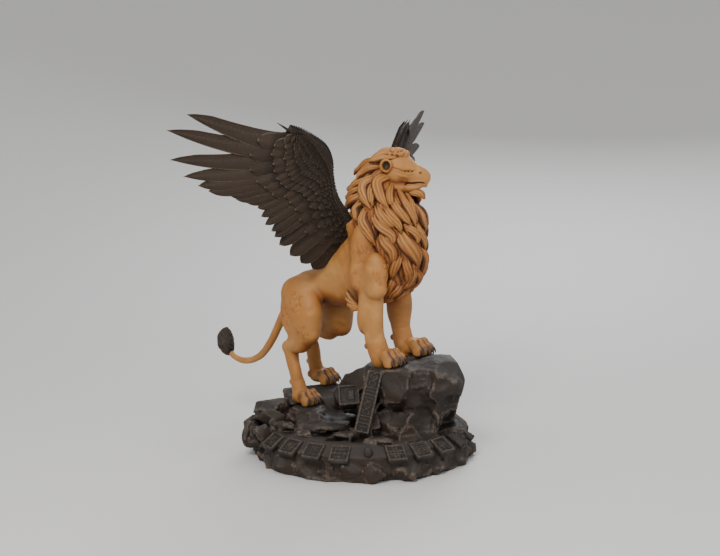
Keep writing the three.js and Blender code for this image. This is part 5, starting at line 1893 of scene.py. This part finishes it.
class PlinthSettings(bpy.types.PropertyGroup):
    """Colours of the plinth"""
    stone: colour_property("Stone", "Stone paint", (0.0215, 0.0145, 0.0108))
    stone_warm: colour_property("Warm stone", "Browner drift", (0.031, 0.0172, 0.0098))
    stone_dust: colour_property("Stone dust", "Greyer upward faces", (0.0285, 0.0245, 0.0215))
    stone_edge: colour_property("Stone edges", "Dry-brushed edges", (0.14, 0.102, 0.075))


class StageSettings(bpy.types.PropertyGroup):
    """The camera and the floor"""
    lens: bpy.props.FloatProperty(name="Lens", description="Camera lens on a 36 mm sensor",
                                  default=60.0, min=10, max=300, unit="CAMERA")
    azimuth: bpy.props.FloatProperty(name="Azimuth", description="Angle round from the right",
                                     default=math.radians(37.0), subtype="ANGLE")
    pitch: bpy.props.FloatProperty(name="Pitch", description="Angle above level",
                                   default=math.radians(8.6), subtype="ANGLE")
    distance: bpy.props.FloatProperty(name="Distance", description="Camera distance",
                                      default=1.0, unit="LENGTH")
    floor: colour_property("Floor", "Floor and backdrop", (0.62, 0.62, 0.615))


def make_figure(context, name, parts):
    """A piece of the figure in the tawny paint, which its first piece makes."""
    paint = bpy.data.materials.get("tawny_paint") or hide_paint(context.scene.griffin)
    make_piece(name, parts, paint, "griffin")


class GRIFFIN_OT_body(bpy.types.Operator):
    """Builds the body, legs, paws, tail and its tuft"""
    bl_idname = "griffin.body"
    bl_label = "Body"

    def execute(self, context):
        make_figure(context, "griffin_body", [body_part(), *tuft_parts()])
        make_figure(context, "griffin_paws", [part for paw in PAWS for part in paw_parts(*paw)])
        return {"FINISHED"}


class GRIFFIN_OT_head(bpy.types.Operator):
    """Builds the eagle's head"""
    bl_idname = "griffin.head"
    bl_label = "Head"

    def execute(self, context):
        make_figure(context, "griffin_head", head_parts())
        return {"FINISHED"}


class GRIFFIN_OT_mane(bpy.types.Operator):
    """Builds the mane and the other locks of hair"""
    bl_idname = "griffin.mane"
    bl_label = "Mane"

    def execute(self, context):
        make_figure(context, "griffin_mane", mane_parts())
        return {"FINISHED"}


class GRIFFIN_OT_wings(bpy.types.Operator):
    """Builds both wings feather by feather"""
    bl_idname = "griffin.wings"
    bl_label = "Wings"

    def execute(self, context):
        paint = feather_paint(context.scene.griffin)
        right = wing_parts()
        left = [mirrored(part) for part in right]
        make_piece("griffin_wing_right", right, paint, "griffin")
        make_piece("griffin_wing_left", left, paint, "griffin")
        return {"FINISHED"}


class GRIFFIN_OT_plinth(bpy.types.Operator):
    """Builds the plinth's rocks and its carvings"""
    bl_idname = "griffin.plinth"
    bl_label = "Plinth"

    def execute(self, context):
        paint = stone_paint(context.scene.plinth)
        carvings = [*carving_parts(), pebble_part()]
        make_piece("plinth_rocks", [rock_part()], paint, "plinth")
        make_piece("plinth_carvings", carvings, paint, "plinth")
        return {"FINISHED"}


CAMERA_TARGET = (-0.002, -0.0015, 0.1483)
LAMP_TARGET = (0, 0, 0.15)
SENSOR_WIDTH = 36
NEAREST_SEEN = 0.01
SKY_COLOUR, SKY_STRENGTH = (0.80, 0.81, 0.83, 1), 0.24
LIGHTS = [
    # name, place, width, watts, colour
    ("key", (0.35, -0.95, 0.95), 0.4, 13, (1.0, 0.965, 0.92)),
    ("fill", (0.95, -0.1, 0.5), 0.8, 2.5, (0.95, 0.97, 1.0)),
    ("rim", (-0.35, 0.95, 0.8), 0.6, 8, (0.95, 0.97, 1.0)),
    ("overhead", (0, 0, 1.9), 2.8, 22, (1.0, 0.99, 0.97)),
]


class GRIFFIN_OT_stage(bpy.types.Operator):
    """Makes the floor, the lights and the camera"""
    bl_idname = "griffin.stage"
    bl_label = "Stage"

    def execute(self, context):
        stage = context.scene.stage
        make_floor(stage)
        target = np.array(CAMERA_TARGET)
        a, p = stage.azimuth, stage.pitch
        ahead = np.array([-math.sin(a) * math.cos(p), math.cos(a) * math.cos(p), -math.sin(p)])
        lens = bpy.data.cameras.new("camera")
        lens.sensor_width = SENSOR_WIDTH
        lens.lens = stage.lens
        lens.clip_start = NEAREST_SEEN
        camera = add_object("camera", lens)
        aim_at(camera, target - ahead * stage.distance, target)
        context.scene.camera = camera
        for row in LIGHTS:
            light(*row)
        world = bpy.data.worlds.new("studio")
        world.use_nodes = True
        backdrop = world.node_tree.nodes["Background"]
        backdrop.inputs["Color"].default_value = SKY_COLOUR
        backdrop.inputs["Strength"].default_value = SKY_STRENGTH
        context.scene.world = world
        return {"FINISHED"}


def aim_at(thing, place, target):
    """Stands a camera or light at a place, looking at a target."""
    thing.location = Vector(place)
    look = Vector(target) - Vector(place)
    thing.rotation_mode = "QUATERNION"
    thing.rotation_quaternion = look.to_track_quat("-Z", "Y")


def light(name, place, size, power, colour):
    """A square soft light that looks at the middle of the statue."""
    lamp = bpy.data.lights.new(name, "AREA")
    lamp.size = size
    lamp.energy = power
    lamp.color = colour
    aim_at(add_object(name, lamp), place, LAMP_TARGET)


# reach of the flat floor, radius of its curve, the flat share of its rings, rings and spokes
FLOOR_FLAT, FLOOR_CURVE, FLAT_SHARE = 550, 1700, 0.3
FLOOR_RINGS, FLOOR_SPOKES = 60, 96


def make_floor(stage):
    """A pale floor, flat round the statue, that curves up all round into a plain backdrop."""
    run = np.linspace(0, 1, FLOOR_RINGS)[:, None]
    angle = ring_angles(FLOOR_SPOKES)[None]
    bend = np.pi / 2 * np.clip((run - FLAT_SHARE) / (1 - FLAT_SHARE), 0, 1)
    reach = FLOOR_FLAT * np.clip(run / FLAT_SHARE, 0, 1) + FLOOR_CURVE * np.sin(bend)
    rise = FLOOR_CURVE * (1 - np.cos(bend))
    points = np.stack([reach * np.cos(angle), reach * np.sin(angle), rise + 0 * angle], axis=-1)
    count = FLOOR_SPOKES
    ring, place = np.meshgrid(np.arange(FLOOR_RINGS - 1), np.arange(count), indexing="ij")
    a, b = ring * count + place, ring * count + (place + 1) % count
    faces = np.stack([a, a + count, b + count, b], axis=-1)[1:].reshape(-1, 4)
    spoke = np.arange(count)
    fan = np.stack([0 * spoke, spoke + count, (spoke + 1) % count + count], axis=1)
    n = Nodes("floor_paint")
    n.feed(n.shader, {"Base Color": linear(stage.floor), "Roughness": 0.85})
    floor = mesh_object("floor", [(points.reshape(-1, 3), [faces, fan], {})], n.material)


class GRIFFIN_PT_panel(bpy.types.Panel):
    """Lists the builders and the sizes and colours that they read"""
    bl_idname = "GRIFFIN_PT_panel"
    bl_label = "Griffin statue"
    bl_space_type = "VIEW_3D"
    bl_region_type = "UI"
    bl_category = "Griffin"

    def draw(self, context):
        for operator in OPERATORS:
            self.layout.operator(operator.bl_idname)
        for group in (context.scene.griffin, context.scene.plinth, context.scene.stage):
            for name in group.__annotations__:
                self.layout.prop(group, name)


GROUPS = {"griffin": GriffinSettings, "plinth": PlinthSettings, "stage": StageSettings}
OPERATORS = (GRIFFIN_OT_stage, GRIFFIN_OT_body, GRIFFIN_OT_head, GRIFFIN_OT_mane,
             GRIFFIN_OT_wings, GRIFFIN_OT_plinth)


def register():
    """Registers the classes and hangs the settings on the scene."""
    for kind in (*GROUPS.values(), *OPERATORS, GRIFFIN_PT_panel):
        bpy.utils.register_class(kind)
    for name, kind in GROUPS.items():
        setattr(bpy.types.Scene, name, bpy.props.PointerProperty(type=kind))


def unregister():
    """Takes the settings and the classes away again."""
    for name in GROUPS:
        delattr(bpy.types.Scene, name)
    for kind in (GRIFFIN_PT_panel, *reversed(OPERATORS), *GROUPS.values()):
        bpy.utils.unregister_class(kind)


def main():
    register()
    bpy.ops.griffin.stage()
    bpy.ops.griffin.body()
    bpy.ops.griffin.head()
    bpy.ops.griffin.mane()
    bpy.ops.griffin.wings()
    bpy.ops.griffin.plinth()


if __name__ == "__main__":
    main()
